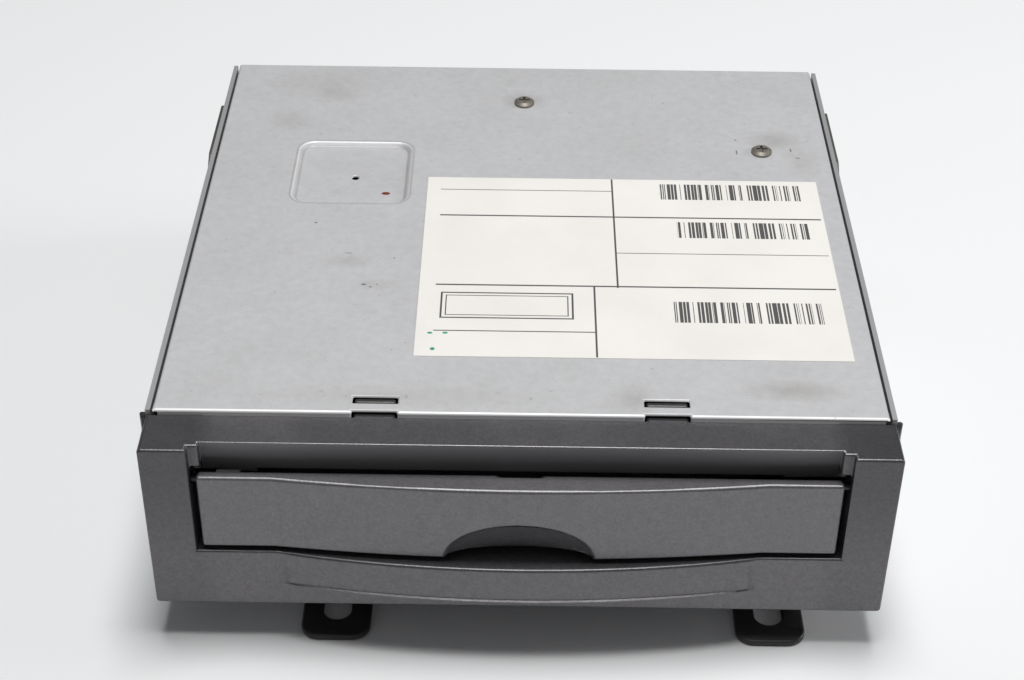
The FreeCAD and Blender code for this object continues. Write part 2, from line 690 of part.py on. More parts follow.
def draw_lintel_hollow(sketch):
    """The hollow under the lintel: an arc from its edge to the chamber's rear wall."""
    edge = (front + dims.lintel_back, bezel_top)
    foot = (chamber_rear, bezel_top - dims.cheek_drop)
    corner = (front, bezel_top - dims.cheek_drop)
    top = (front, bezel_top)
    radius = dims.cheek_drop * 1.35
    half_x = (foot[0].value - edge[0].value) / 2
    half_y = (foot[1].value - edge[1].value) / 2
    span = math.hypot(half_x, half_y)
    rise = math.sqrt(radius.value ** 2 - span ** 2)
    centre = Vector(edge[0].value + half_x + rise * half_y / span,
                    edge[1].value + half_y - rise * half_x / span, 0)
    start = math.atan2(foot[1].value - centre.y, foot[0].value - centre.x)
    stop = math.atan2(edge[1].value - centre.y, edge[0].value - centre.x)
    circle = Part.Circle(centre, Vector(0, 0, 1), radius.value)
    arc = sketch.addGeometry(Part.ArcOfCircle(circle, start, stop))
    corners = (edge, top, corner, foot)
    lines = []
    for one, other in zip(corners, corners[1:]):
        lines.append(sketch.addGeometry(Part.LineSegment(
            Vector(one[0].value, one[1].value, 0), Vector(other[0].value, other[1].value, 0))))
    for line, place in zip(lines, corners):
        fix_point(sketch, line, 1, *place)
    fix_point(sketch, lines[-1], 2, *foot)
    for one, other in zip(lines, lines[1:]):
        sketch.addConstraint(Sketcher.Constraint("Coincident", one, 2, other, 1))
    sketch.addConstraint(Sketcher.Constraint("Coincident", arc, 1, lines[-1], 2))
    sketch.addConstraint(Sketcher.Constraint("Coincident", arc, 2, lines[0], 1))
    number = sketch.addConstraint(Sketcher.Constraint("Radius", arc, radius.value))
    sketch.setExpression("Constraints[%d]" % number, radius.text)


sink_pocket(bezel, "YZ_Plane", -dims.cheek_half, dims.cheek_half, draw_lintel_hollow)
sink_pocket(bezel, "XZ_Plane", chamber_rear, bezel_rear,
            box_outline((-dims.disc_slot_half, dims.disc_slot_half),
                        (disc_z - dims.disc_slot_high / 2, disc_z + dims.disc_slot_high / 2)))
sink_pocket(bezel, "XZ_Plane", wall_rear, bezel_rear,
            box_outline((-cavity_half, cavity_half),
                        (bezel_bottom + dims.bezel_wall, bezel_top - dims.bezel_wall)))
for span in ((-cavity_half, -pillar_skin), (pillar_skin, cavity_half)):
    sink_pocket(bezel, "XZ_Plane", front + dims.bezel_wall, bezel_rear,
                box_outline(span, (bezel_bottom + dims.bezel_wall, bezel_top - dims.bezel_wall)))
sink_pocket(bezel, "XZ_Plane", front + dims.bezel_wall, bezel_rear,
            box_outline((-cavity_half, cavity_half),
                        (bezel_bottom + dims.bezel_wall, lip_top - dims.bezel_wall)))
button_z = bezel_top - dims.button_drop
button_half_x = dims.button_wide / 2
button_half_z = dims.button_high / 2
sink_pocket(bezel, "XZ_Plane", chamber_rear, wall_rear,
            box_outline((dims.button_x - button_half_x - dims.button_gap,
                         dims.button_x + button_half_x + dims.button_gap),
                        (button_z - button_half_z - dims.button_gap,
                         button_z + button_half_z + dims.button_gap)))
for low in (-pillar_skin, dims.doorway_half):
    sink_pocket(bezel, "YZ_Plane", low, low + (pillar_skin - dims.doorway_half),
                round_outline(hinge_y, hinge_z, bore_radius))
hook_top = cover_under - 0.4
hook_thick = as_size(1.6)
hook_tip = slot_front + dims.hook_slot_deep + 0.6
barb_front = slot_front + 0.35
for low, high in slot_spans:
    raise_pad(bezel, "XY_Plane", hook_top - hook_thick, hook_top,
              box_outline((low + 0.5, high - 0.5), (bezel_rear - 1, hook_tip)))
    raise_pad(bezel, "XY_Plane", hook_top - overlap, cover_top - 0.3,
              box_outline((low + 0.5, high - 0.5), (barb_front, barb_front + 1.7)))
clip_rear = bezel_rear + 2.4
clip_proud = as_size(1.8)
clip_gap = as_size(0.15)
for side in (-1, 1):
    raise_pad(bezel, "XY_Plane", bezel_top - 9, bezel_top - 1,
              polygon_outline([(side * (casing_half - 0.5), front + 9.2),
                               (side * casing_half, front + 9.2),
                               (side * (casing_half + clip_proud), clip_rear - 0.6),
                               (side * (casing_half + clip_proud), clip_rear),
                               (side * (casing_half + clip_gap), clip_rear),
                               (side * (casing_half + clip_gap), bezel_rear),
                               (side * (casing_half - 0.5), bezel_rear)]))


def lip_swell_shape():
    """The bow of the lip: a ruled face from the lip's arc down to the crease."""
    half = dims.swell_half.value
    y = front.value
    z = lip_top.value
    ends = bezel_top.value - dims.crease_end_drop.value
    middle = bezel_top.value - dims.crease_mid_drop.value
    bow = Part.Arc(Vector(-half, y, z), Vector(0, y - dims.lip_swell.value, z),
                   Vector(half, y, z)).toShape()
    crease = Part.Arc(Vector(-half, y, ends), Vector(0, y, middle), Vector(half, y, ends)).toShape()
    top_line = Part.makeLine(Vector(-half, y, z), Vector(half, y, z))
    left_line = Part.makeLine(Vector(-half, y, z), Vector(-half, y, ends))
    right_line = Part.makeLine(Vector(half, y, z), Vector(half, y, ends))
    face = Part.makeRuledSurface(bow, crease)
    top = Part.Face(Part.Wire([bow, top_line]))
    back = Part.Face(Part.Wire([top_line, right_line, crease, left_line]))
    shell = Part.makeShell([face, top, back])
    shell.sewShape()
    solid = Part.makeSolid(shell)
    if solid.Volume < 0:
        solid.reverse()
    return solid


keep("front_bezel", fuse(bezel, from_shape(lip_swell_shape())))

# Flap: a bowed door with a finger scoop, hollows behind and two hinge lugs.
flap_top = bezel_top - dims.flap_drop
flap_bottom = flap_top - dims.flap_high
flap_face = front + dims.flap_front
flap_back = flap_face + dims.flap_thick


def draw_bowed(sketch, half, swell_half, face, swell, back):
    """A plan outline: straight ends, an arc bowed to the front and a straight back."""
    radius = (swell_half * swell_half + swell * swell) / (2 * swell)
    corners = [(swell_half, face), (half, face), (half, back), (-half, back), (-half, face),
               (-swell_half, face)]
    lines = []
    for one, other in zip(corners, corners[1:]):
        lines.append(sketch.addGeometry(Part.LineSegment(
            Vector(one[0].value, one[1].value, 0), Vector(other[0].value, other[1].value, 0))))
    for line, place in zip(lines, corners):
        fix_point(sketch, line, 1, *place)
    fix_point(sketch, lines[-1], 2, *corners[-1])
    for one, other in zip(lines, lines[1:]):
        sketch.addConstraint(Sketcher.Constraint("Coincident", one, 2, other, 1))
    centre = Vector(0, face.value - swell.value + radius.value, 0)
    lean = math.asin(swell_half.value / radius.value)
    circle = Part.Circle(centre, Vector(0, 0, 1), radius.value)
    arc = sketch.addGeometry(Part.ArcOfCircle(circle, -math.pi / 2 - lean, -math.pi / 2 + lean))
    sketch.addConstraint(Sketcher.Constraint("Coincident", arc, 1, lines[-1], 2))
    sketch.addConstraint(Sketcher.Constraint("Coincident", arc, 2, lines[0], 1))
    number = sketch.addConstraint(Sketcher.Constraint("Radius", arc, radius.value))
    sketch.setExpression("Constraints[%d]" % number, radius.text)


door = doc.addObject("PartDesign::Body", "flap_moulding")
raise_pad(door, "XY_Plane", flap_bottom, flap_top,
          lambda sketch: draw_bowed(sketch, dims.flap_half, dims.swell_half, flap_face,
                                    dims.flap_swell, flap_back))
sink_pocket(door, "XZ_Plane", flap_back - 0.6, flap_back,
            box_outline((-5, 5), (flap_top - 3, flap_top)))
for low, high in ((-50, -37), (-35, -22), (22, 35), (37, 50)):
    sink_pocket(door, "XZ_Plane", flap_face + 0.9, flap_back,
                box_outline((low, high), (flap_bottom + 1.8, flap_top - 1.8)))
lug_inner = dims.flap_half - 0.25 - dims.hinge_lug_wide
for low in (-lug_inner - dims.hinge_lug_wide, lug_inner):
    high = low + dims.hinge_lug_wide
    raise_pad(door, "YZ_Plane", low, high, round_outline(hinge_y, hinge_z, dims.hinge_lug_radius))
    sink_pocket(door, "YZ_Plane", low - 1.5, high + 1.5,
                round_outline(hinge_y, hinge_z, dims.hinge_pin_radius))
sink_pocket(door, "YZ_Plane", -lug_inner, -lug_inner + 5.6,
            round_outline(hinge_y, hinge_z, dims.flap_spring_radius + 0.55))
scoop = doc.addObject("Part::Ellipsoid", "finger_scoop")
bind(scoop, "Radius1", dims.scoop_high)
bind(scoop, "Radius2", dims.scoop_half)
bind(scoop, "Radius3", dims.scoop_deep)
bind(scoop, "Placement.Base.y", flap_face - dims.flap_swell)
bind(scoop, "Placement.Base.z", flap_bottom)
keep("front_flap", cut(door, scoop))

pin_end = dims.doorway_half + 2.2
spring_length = dims.flap_spring_pitch * 4
pin_inner = lug_inner - 0.8
keep("flap_pins", group(
    cylinder("x", (hinge_y, hinge_z), -pin_end, -pin_inner + spring_length + 1.2,
             dims.hinge_pin_radius),
    cylinder("x", (hinge_y, hinge_z), pin_inner, pin_end, dims.hinge_pin_radius)))


def coil_shape(start, radius, wire, pitch, turns):
    """A wire wound about the X axis from a starting station: rings of points along a helix."""
    steps = 16
    sides = 6
    lean = math.atan2(pitch.value, 2 * math.pi * radius.value)
    rings = []
    for step in range(turns * steps + 1):
        angle = 2 * math.pi * step / steps
        out = Vector(0, math.cos(angle), math.sin(angle))
        up = Vector(math.cos(lean), math.sin(angle) * math.sin(lean),
                    -math.cos(angle) * math.sin(lean))
        centre = start + out * radius.value + Vector(pitch.value * step / steps, 0, 0)
        ring = []
        for side in range(sides):
            turn = 2 * math.pi * side / sides
            ring.append(centre + (out * math.cos(turn) + up * math.sin(turn)) * (wire.value / 2))
        rings.append(ring)
    faces = []
    for one, other in zip(rings, rings[1:]):
        for side in range(sides):
            after = (side + 1) % sides
            for corners in ((one[side], one[after], other[after]),
                            (one[side], other[after], other[side])):
                faces.append(Part.Face(Part.makePolygon(corners + corners[:1])))
    for ring in (rings[0], rings[-1]):
        faces.append(Part.Face(Part.makePolygon(ring + ring[:1])))
    shell = Part.makeShell(faces)
    shell.sewShape()
    coil = Part.makeSolid(shell)
    if coil.Volume < 0:
        coil.reverse()
    gap = pitch.value - wire.value
    print("coil: wire %.2f, least gap between turns %.2f" % (wire.value, gap))
    return coil


keep("flap_spring", from_shape(coil_shape(
    Vector(-lug_inner.value + 0.6, hinge_y.value, hinge_z.value),
    dims.flap_spring_radius, dims.flap_spring_wire, dims.flap_spring_pitch, 4)))

# Eject button with its switch and small board behind the bezel.
board_front_y = bezel_rear - 1.3
switch_front_y = board_front_y - 1.0
flange_rear = switch_front_y - dims.button_travel - 0.2
button = new_body("eject_button")
raise_pad(button, "XZ_Plane", chamber_rear - dims.button_stand, flange_rear,
          box_outline((dims.button_x - button_half_x, dims.button_x + button_half_x),
                      (button_z - button_half_z, button_z + button_half_z)))
raise_pad(button, "XZ_Plane", wall_rear + 0.15, flange_rear,
          box_outline((dims.button_x - button_half_x - 1, dims.button_x + button_half_x + 1),
                      (button_z - button_half_z - 1, button_z + button_half_z + 1)))
keep("eject_switch", block((dims.button_x - 3, dims.button_x + 3),
                           (switch_front_y, board_front_y), (button_z - 3, button_z + 3)))
keep("button_board", block((dims.button_x - 6, cavity_half - 0.2),
                           (board_front_y, board_front_y + 1.0), (button_z - 16, button_z + 5)))

# Mounting bracket: two straps with bent feet, and a cross strap with a wing up each side.
strap_low = tray_bottom - dims.bracket_sheet
tip = front - dims.foot_reach
leg = tip + dims.foot_long
rear_tip = front + dims.rear_foot_y
rear_leg = rear_tip - dims.foot_long
strap = dims.bracket_sheet
foot_half = dims.foot_wide / 2
feet = (dims.foot_left_x, dims.foot_right_x)
bracket = new_body("mounting_bracket")
for x in feet:
    raise_pad(bracket, "YZ_Plane", x - foot_half, x + foot_half,
              polygon_outline([(tip, 0), (leg, 0), (leg, strap_low), (rear_leg, strap_low),
                               (rear_leg, 0), (rear_tip, 0), (rear_tip, strap),
                               (rear_leg + strap, strap), (rear_leg + strap, tray_bottom),
                               (leg - strap, tray_bottom), (leg - strap, strap), (tip, strap)]))


def stands_at(ys):
    """A test for upright edges at certain depths."""
    def test(edge):
        box = edge.BoundBox
        upright = box.XLength < 0.01 and box.YLength < 0.01
        return upright and any(abs(box.YMin - y.value) < 0.01 for y in ys)
    return test


round_corners(bracket, dims.foot_corner, stands_at((tip, rear_tip)))
wing_inner = casing_half + dims.wing_gap
wing_outer = wing_inner + dims.wing_sheet
wing_top = bezel_top - dims.wing_drop
wing_front = front + dims.wing_front
wing_rear = front + dims.wing_rear
raise_pad(bracket, "XZ_Plane", wing_front, wing_rear,
          polygon_outline([(-wing_outer, strap_low), (wing_outer, strap_low),
                           (wing_outer, wing_top), (wing_inner, wing_top),
                           (wing_inner, tray_bottom), (-wing_inner, tray_bottom),
                           (-wing_inner, wing_top), (-wing_outer, wing_top)]))
wing_slope = [(wing_front, wing_top), (wing_front + 7, wing_top), (wing_front, wing_top - 4.5)]
for low in (-wing_outer, wing_inner):
    sink_pocket(bracket, "YZ_Plane", low, low + dims.wing_sheet, polygon_outline(wing_slope))
    sink_pocket(bracket, "YZ_Plane", low, low + dims.wing_sheet, draw_wing_holes(screw_hole))
sink_pocket(bracket, "XY_Plane", strap_low, tray_bottom, draw_strap_holes(screw_hole))
slot_half = dims.foot_slot_wide / 2
slot_starts = (tip + dims.foot_slot_edge,
               rear_tip - dims.foot_slot_edge - dims.foot_slot_long)
for x in feet:
    for start in slot_starts:
        sink_pocket(bracket, "XY_Plane", as_size(0), strap,
                    rounded_outline((x - slot_half, x + slot_half),
                                    (start, start + dims.foot_slot_long), slot_half - 0.01))

# Screws: pan heads with a cross recess.
TOWARDS = {
    "up": Rotation(),
    "down": Rotation(Vector(1, 0, 0), 180),
    "left": Rotation(Vector(0, 1, 0), -90),
    "right": Rotation(Vector(0, 1, 0), 90),
}


def screw_shape(place, facing, grip):
    """A screw whose head's underside sits at a place and whose shank runs back from it."""
    radius = dims.screw_head_radius.value
    high = dims.screw_head_high.value
    shank = dims.screw_shank_radius.value
    rim = Part.makeLine(Vector(radius, 0, 0), Vector(radius, 0, high * 0.5))
    slope = Part.makeLine(Vector(radius, 0, high * 0.5), Vector(radius * 0.7, 0, high))
    crown = Part.makeLine(Vector(radius * 0.7, 0, high), Vector(0, 0, high))
    axis = Part.makeLine(Vector(0, 0, high), Vector(0, 0, -grip))
    end = Part.makeLine(Vector(0, 0, -grip), Vector(shank, 0, -grip))
    side = Part.makeLine(Vector(shank, 0, -grip), Vector(shank, 0, 0))
    under = Part.makeLine(Vector(shank, 0, 0), Vector(radius, 0, 0))
    outline = Part.Face(Part.Wire([rim, slope, crown, axis, end, side, under]))
    solid = outline.revolve(Vector(0, 0, 0), Vector(0, 0, 1), 360)
    arm = radius * 0.55
    slit = radius * 0.11
    deep = high * 0.7
    for long_x, long_y in ((arm, slit), (slit, arm)):
        corner = Vector(-long_x, -long_y, high - deep)
        solid = solid.cut(Part.makeBox(2 * long_x, 2 * long_y, high, corner))
    solid.Placement = Placement(place, TOWARDS[facing])
    return solid


def screws(name, places, facing, grip):
    """A set of equal screws as one sub-part."""
    shapes = [screw_shape(Vector(*[as_size(value).value for value in place]), facing,
                          as_size(grip).value) for place in places]
    keep(name, from_shape(Part.makeCompound(shapes)))


screws("cover_screws", [(x, y, cover_top) for x, y in cover_screw_places], "up",
       dims.cover_sheet + 2.6)
screws("bracket_screws", [(x, y, strap_low) for x in feet for y in bracket_hole_ys], "down",
       dims.bracket_sheet + dims.tray_sheet + 0.8)
wing_grip = dims.wing_sheet + dims.wing_gap + dims.tray_sheet + 0.8
wing_shapes = [screw_shape(Vector(side * wing_outer.value, y.value, wing_hole_z.value),
                           facing, wing_grip.value)
               for side, facing in ((-1, "left"), (1, "right")) for y in wing_hole_ys]
keep("wing_screws", from_shape(Part.makeCompound(wing_shapes)))

# Main board with its parts.
board_front = front + dims.board_front
board_rear = front + dims.board_rear
main_board = new_body("main_board")
raise_pad(main_board, "XY_Plane", board_z, socket_low,
          box_outline((-board_half, board_half), (board_front, board_rear)))
sink_pocket(main_board, "XY_Plane", board_z, socket_low, draw_board_holes(screw_hole))
screws("board_screws", [(x, y, socket_low) for x in (-board_hole_x, board_hole_x)
                        for y in board_hole_ys], "up", dims.board_thick + 3)


def chip(x, y, half_x, half_y, high):
    """A flat package soldered on the main board, placed from the middle of its front edge."""
    return block((as_size(x) - half_x, as_size(x) + half_x),
                 (board_front + y - half_y, board_front + y + half_y),
                 (socket_low, socket_low + high))


keep("processor", chip(-18, 66, 15.5, 15.5, 2.4))
keep("memory_chips", group(*[chip(8 + 14 * column, 58 + 16 * line, 5, 6, 1.1)
                             for column in range(2) for line in range(2)]))
shield_skin = as_size(0.4)
shield_high = as_size(5)
shield_xs = (antenna_x - 18, antenna_x + 26)
shield_ys = (board_rear - 52, board_rear - 24)
shield = new_body("tuner_shield")
raise_pad(shield, "XY_Plane", socket_low, socket_low + shield_high,
          box_outline(shield_xs, shield_ys))
sink_pocket(shield, "XY_Plane", socket_low, socket_low + shield_high - shield_skin,
            box_outline((shield_xs[0] + shield_skin, shield_xs[1] - shield_skin),
                        (shield_ys[0] + shield_skin, shield_ys[1] - shield_skin)))
capacitor_y = board_rear - 28
keep("capacitors", group(*[cylinder("z", (power_low + 10 + 11 * number, capacitor_y), socket_low,
                                    socket_low + 5.4, as_size(4)) for number in range(4)]))


def draw_open_shell(name, xs, zs, wall, deep):
    """A connector shell standing on the board's rear edge, open to the rear."""
    shell = new_body(name)
    near = board_rear - 5
    mouth = cover_rear + 2.5
    raise_pad(shell, "XZ_Plane", near, mouth, box_outline(xs, zs))
    sink_pocket(shell, "XZ_Plane", mouth - deep, mouth,
                box_outline((xs[0] + wall, xs[1] - wall), (zs[0] + wall, zs[1] - wall)))
    return shell


draw_open_shell("power_socket", power_xs, power_zs, 1.6, 10)
draw_open_shell("data_socket", data_xs, data_zs, 1.4, 9)
antenna_mouth = cover_rear + dims.socket_reach
antenna_near = board_rear - 4
keep("antenna_socket", cut(
    fuse(cylinder("y", (antenna_x, antenna_z), antenna_near, antenna_mouth, antenna_radius),
         block((antenna_x - antenna_radius, antenna_x + antenna_radius),
               (antenna_near, rear_panel_y - 0.6), (socket_low, antenna_z))),
    cylinder("y", (antenna_x, antenna_z), antenna_mouth - 10, antenna_mouth, as_size(3.2))))

# Loader frame: a sheet channel on standoffs that carries the whole disc mechanism.
frame_z = tray_floor + dims.frame_rise
frame_floor = frame_z + dims.frame_sheet
frame_top = frame_z + dims.frame_high
frame_ceiling = frame_top - dims.frame_sheet
frame_front = front + dims.frame_front
frame_rear = front + dims.frame_rear
flange_edge = dims.frame_half - dims.frame_flange
frame_inner = dims.frame_half - dims.frame_sheet
roller_y = front + dims.roller_y
roller_z = disc_z - dims.roller_gap - dims.roller_radius
bush_radius = dims.roller_shaft_radius + 1.5
GEAR_TEETH = {"roller": 24, "idler": 36, "pinion": 12}
roller_idler = dims.gear_module * (GEAR_TEETH["roller"] + GEAR_TEETH["idler"]) / 2
idler_pinion = dims.gear_module * (GEAR_TEETH["idler"] + GEAR_TEETH["pinion"]) / 2
idler_y = roller_y + roller_idler
motor_z = roller_z - dims.feed_motor_z_drop
motor_y = idler_y + root(idler_pinion * idler_pinion
                         - dims.feed_motor_z_drop * dims.feed_motor_z_drop)
post_places = [(x, y) for x in (post_inset - dims.frame_half, dims.frame_half - post_inset)
               for y in (frame_front + 8, frame_rear - 8)]
frame = new_body("loader_frame")
raise_pad(frame, "XZ_Plane", frame_front, frame_rear,
          polygon_outline([(-dims.frame_half, frame_z), (dims.frame_half, frame_z),
                           (dims.frame_half, frame_top), (flange_edge, frame_top),
                           (flange_edge, frame_ceiling), (frame_inner, frame_ceiling),
                           (frame_inner, frame_floor), (-frame_inner, frame_floor),
                           (-frame_inner, frame_ceiling), (-flange_edge, frame_ceiling),
                           (-flange_edge, frame_top), (-dims.frame_half, frame_top)]))
for start in (dims.cross_front, dims.cross_rear):
    raise_pad(frame, "XY_Plane", frame_ceiling, frame_top,
              box_outline((-flange_edge - overlap, flange_edge + overlap),
                          (front + start, front + start + dims.cross_deep)))
sink_pocket(frame, "XY_Plane", frame_z, frame_floor,
            box_outline((-dims.floor_hole_half, dims.floor_hole_half),
                        (frame_front + 44, frame_rear - 8)))
for low in (-dims.frame_half, frame_inner):
    sink_pocket(frame, "YZ_Plane", low, low + dims.frame_sheet,
                round_outline(roller_y, roller_z, bush_radius))
sink_pocket(frame, "YZ_Plane", -dims.frame_half, -frame_inner,
            round_outline(motor_y, motor_z, as_size(2.5)))


def draw_post_holes(sketch):
    """The four fixings of the loader frame."""
    for x, y in post_places:
        draw_circle(sketch, x, y, screw_hole)


sink_pocket(frame, "XY_Plane", frame_z, frame_floor, draw_post_holes)


def hollow_post(x, y, low, high, radius):
    """A round standoff with a screw hole through it."""
    return cut(cylinder("z", (x, y), low, high, radius), cylinder("z", (x, y), low, high, screw_hole))


keep("frame_standoffs", group(*[hollow_post(x, y, tray_floor, frame_z, post_radius)
                                for x, y in post_places]))
screws("frame_screws", [(x, y, frame_floor) for x, y in post_places], "up", dims.frame_sheet + 6)
keep("cover_posts", group(*[hollow_post(x, y, frame_top, cover_under, as_size(3.2))
                            for x, y in cover_screw_places]))

# Dust felts behind the front panel's slot.
felt_y = front_panel_y + dims.panel_sheet
felt_near = as_size(2.3)
keep("dust_felts", group(*[block((-dims.disc_slot_half, dims.disc_slot_half), (felt_y, felt_y + 1.4),
                                 zs) for zs in ((disc_z + felt_near, disc_z + felt_near + 3),
                                                (disc_z - felt_near - 3, disc_z - felt_near))]))

# Feed roller with its bushes, and the gear train on the frame's left side.
gear_inner = dims.frame_half + dims.gear_side
gear_outer = gear_inner + dims.gear_thick
shaft_right = dims.frame_half + 1.4
keep("roller_shaft", cylinder("x", (roller_y, roller_z), -gear_outer - 0.6, shaft_right,
                              dims.roller_shaft_radius))
sleeve_ends = (dims.disc_slot_half - 2, as_size(4))


def ring(axis, place, low, high, outer, inner):
    """A round bar with a bore through it."""
    return cut(cylinder(axis, place, low, high, outer), cylinder(axis, place, low, high, inner))


keep("feed_rollers", group(*[ring("x", (roller_y, roller_z), low, high, dims.roller_radius,
                                  dims.roller_shaft_radius)
                             for low, high in ((-sleeve_ends[0], -sleeve_ends[1]),
                                               (sleeve_ends[1], sleeve_ends[0]))]))
keep("roller_bushes", group(*[ring("x", (roller_y, roller_z), low, low + 3.4, bush_radius,
                                   dims.roller_shaft_radius + dims.running_gap)
                              for low in (-dims.frame_half - 1.0, dims.frame_half - 2.4)]))

PRESSURE = math.radians(25)


def involute_point(base, radius, sign, middle):
    """A point of an involute flank at a radius, mirrored by sign about a tooth's middle."""
    roll = math.sqrt((radius / base) ** 2 - 1)
    angle = middle + sign * (roll - math.atan(roll))
    return Vector(0, radius * math.cos(angle), radius * math.sin(angle))


def gear_shape(teeth, module, x_low, x_high, centre, bore, phase):
    """A spur gear about the X axis: involute flanks, flat tips and flat roots."""
    pitch_radius = module * teeth / 2
    base = pitch_radius * math.cos(PRESSURE)
    tip_radius = pitch_radius + 0.9 * module
    root_radius = pitch_radius - 1.15 * module
    slack = 0.12 * module
    half_tooth = (math.pi * module / 2 - slack) / 2 / pitch_radius
    spread = half_tooth + math.tan(PRESSURE) - PRESSURE
    start = max(base, root_radius)
    radii = [start + (tip_radius - start) * step / 3 for step in range(4)]
    corners = []
    for tooth in range(teeth):
        middle = phase + 2 * math.pi * tooth / teeth
        rising = [involute_point(base, radius, 1, middle - spread) for radius in radii]
        falling = [involute_point(base, radius, -1, middle + spread) for radius in reversed(radii)]
        if root_radius < base:
            low = Vector(0, root_radius * math.cos(middle - spread),
                         root_radius * math.sin(middle - spread))
            high = Vector(0, root_radius * math.cos(middle + spread),
                          root_radius * math.sin(middle + spread))
            corners += [low] + rising + falling + [high]
        else:
            corners += rising + falling
    corners.append(corners[0])
    face = Part.Face(Part.makePolygon(corners))
    solid = face.extrude(Vector(x_high - x_low, 0, 0))
    solid = solid.cut(Part.makeCylinder(bore, x_high - x_low, Vector(0, 0, 0), Vector(1, 0, 0)))
    solid.Placement = Placement(Vector(x_low, centre[0], centre[1]), Rotation())
    return solid


def mate_phase(teeth, phase, mate_teeth, direction):
    """The phase that meshes a second gear with the first across a direction."""
    step = 2 * math.pi / teeth
    share = ((direction - phase) / step) % 1.0
    return direction + math.pi + (share + 0.5) * 2 * math.pi / mate_teeth


module = dims.gear_module.value
gear_span = (-gear_outer.value, -gear_inner.value)
roller_centre = (roller_y.value, roller_z.value)
idler_centre = (idler_y.value, roller_z.value)
pinion_centre = (motor_y.value, motor_z.value)
roller_phase = 0.0
idler_phase = mate_phase(GEAR_TEETH["roller"], roller_phase, GEAR_TEETH["idler"], 0.0)
pinion_turn = math.atan2(pinion_centre[1] - idler_centre[1], pinion_centre[0] - idler_centre[0])
pinion_phase = mate_phase(GEAR_TEETH["idler"], idler_phase, GEAR_TEETH["pinion"], pinion_turn)
stud_radius = as_size(1.5)
motor_shaft_radius = as_size(1.0)
keep("roller_gear", from_shape(gear_shape(
    GEAR_TEETH["roller"], module, *gear_span, roller_centre, dims.roller_shaft_radius.value,
    roller_phase)))
keep("idler_gear", from_shape(gear_shape(
    GEAR_TEETH["idler"], module, *gear_span, idler_centre,
    (stud_radius + dims.running_gap).value, idler_phase)))
keep("motor_pinion", from_shape(gear_shape(
    GEAR_TEETH["pinion"], module, *gear_span, pinion_centre, motor_shaft_radius.value,
    pinion_phase)))
keep("idler_stud", cylinder("x", (idler_y, roller_z), -gear_outer - 0.5, -dims.frame_half,
                            stud_radius))
keep("motor_shaft", cylinder("x", (motor_y, motor_z), -gear_outer, -frame_inner + 6,
                             motor_shaft_radius))
keep("feed_motor", cut(
    cylinder("x", (motor_y, motor_z), -frame_inner, -frame_inner + dims.feed_motor_long,
             dims.feed_motor_radius),
    cylinder("x", (motor_y, motor_z), -frame_inner, -frame_inner + 6.5,
             motor_shaft_radius + dims.running_gap)))

# Disc guide: a smooth plastic bridge above the roller.
guide_low = disc_z + dims.guide_clear
guide_high = guide_low + dims.guide_thick
guide_half = flange_edge + 6
guide = new_body("disc_guide")
raise_pad(guide, "XZ_Plane", frame_front + 2, frame_front + 13,
          polygon_outline([(-guide_half, guide_low), (guide_half, guide_low),
                           (guide_half, frame_ceiling), (guide_half - 3, frame_ceiling),
                           (guide_half - 3, guide_high), (3 - guide_half, guide_high),
                           (3 - guide_half, frame_ceiling), (-guide_half, frame_ceiling)]))

# Sensing levers: two arms on studs under the front cross member, with pins into the path.
lever_low = disc_z + dims.arm_clear - 0.4
lever_high = lever_low + dims.lever_thick
lever_y = front + dims.lever_y
lean_x = sine(dims.lever_lean)
lean_y = cosine(dims.lever_lean)
lever_half = as_size(2.4)
lever_bore = dims.lever_pin_radius + dims.running_gap
for name, side in (("left_lever", -1), ("right_lever", 1)):
    pivot_x = side * dims.lever_x
    end_x = side * (dims.lever_x + dims.lever_long * lean_x)
    end_y = lever_y - dims.lever_long * lean_y
    off_x = side * lever_half * lean_y
    off_y = lever_half * lean_x
    lever = new_body(name)
    raise_pad(lever, "XY_Plane", lever_low, lever_high,
              polygon_outline([(pivot_x - off_x, lever_y - off_y), (end_x - off_x, end_y - off_y),
                               (end_x + off_x, end_y + off_y),
                               (pivot_x + off_x, lever_y + off_y)]))
    raise_pad(lever, "XY_Plane", lever_low, lever_high,
              round_outline(pivot_x, lever_y, as_size(3.2)))
    raise_pad(lever, "XY_Plane", disc_z - 0.9, lever_high,
              round_outline(end_x, end_y, as_size(2.4)))
    sink_pocket(lever, "XY_Plane", lever_low, lever_high,
                round_outline(pivot_x, lever_y, lever_bore))
stud_steps = ((lever_low - 0.8, lever_low - 0.2, 3), (lever_low - 0.2, lever_high + 0.2, None),
              (lever_high + 0.2, frame_ceiling, 2.4))
keep("lever_studs", group(*[
    fuse(*[cylinder("z", (x, lever_y), low, high,
                    dims.lever_pin_radius if radius is None else as_size(radius))
           for low, high, radius in stud_steps])
    for x in (-dims.lever_x, dims.lever_x)]))

# Traverse plate: floats on four rubber dampers and carries the spindle and the pickup.
traverse_z = frame_floor + dims.traverse_rise
plate_top = traverse_z + dims.frame_sheet
traverse_front = front + dims.traverse_front
traverse_rear = front + dims.traverse_rear
spindle_y = front + dims.spindle_y
damper_places = [(x, y) for x in (-dims.damper_x, dims.damper_x)
                 for y in (traverse_front + 8, traverse_rear - 8)]
keel_ys = (front + dims.sled_front + 7, front + dims.sled_front + 21)


def draw_damper_holes(sketch):
    """The four damper seats of the traverse plate."""
    for x, y in damper_places:
        draw_circle(sketch, x, y, dims.damper_neck)


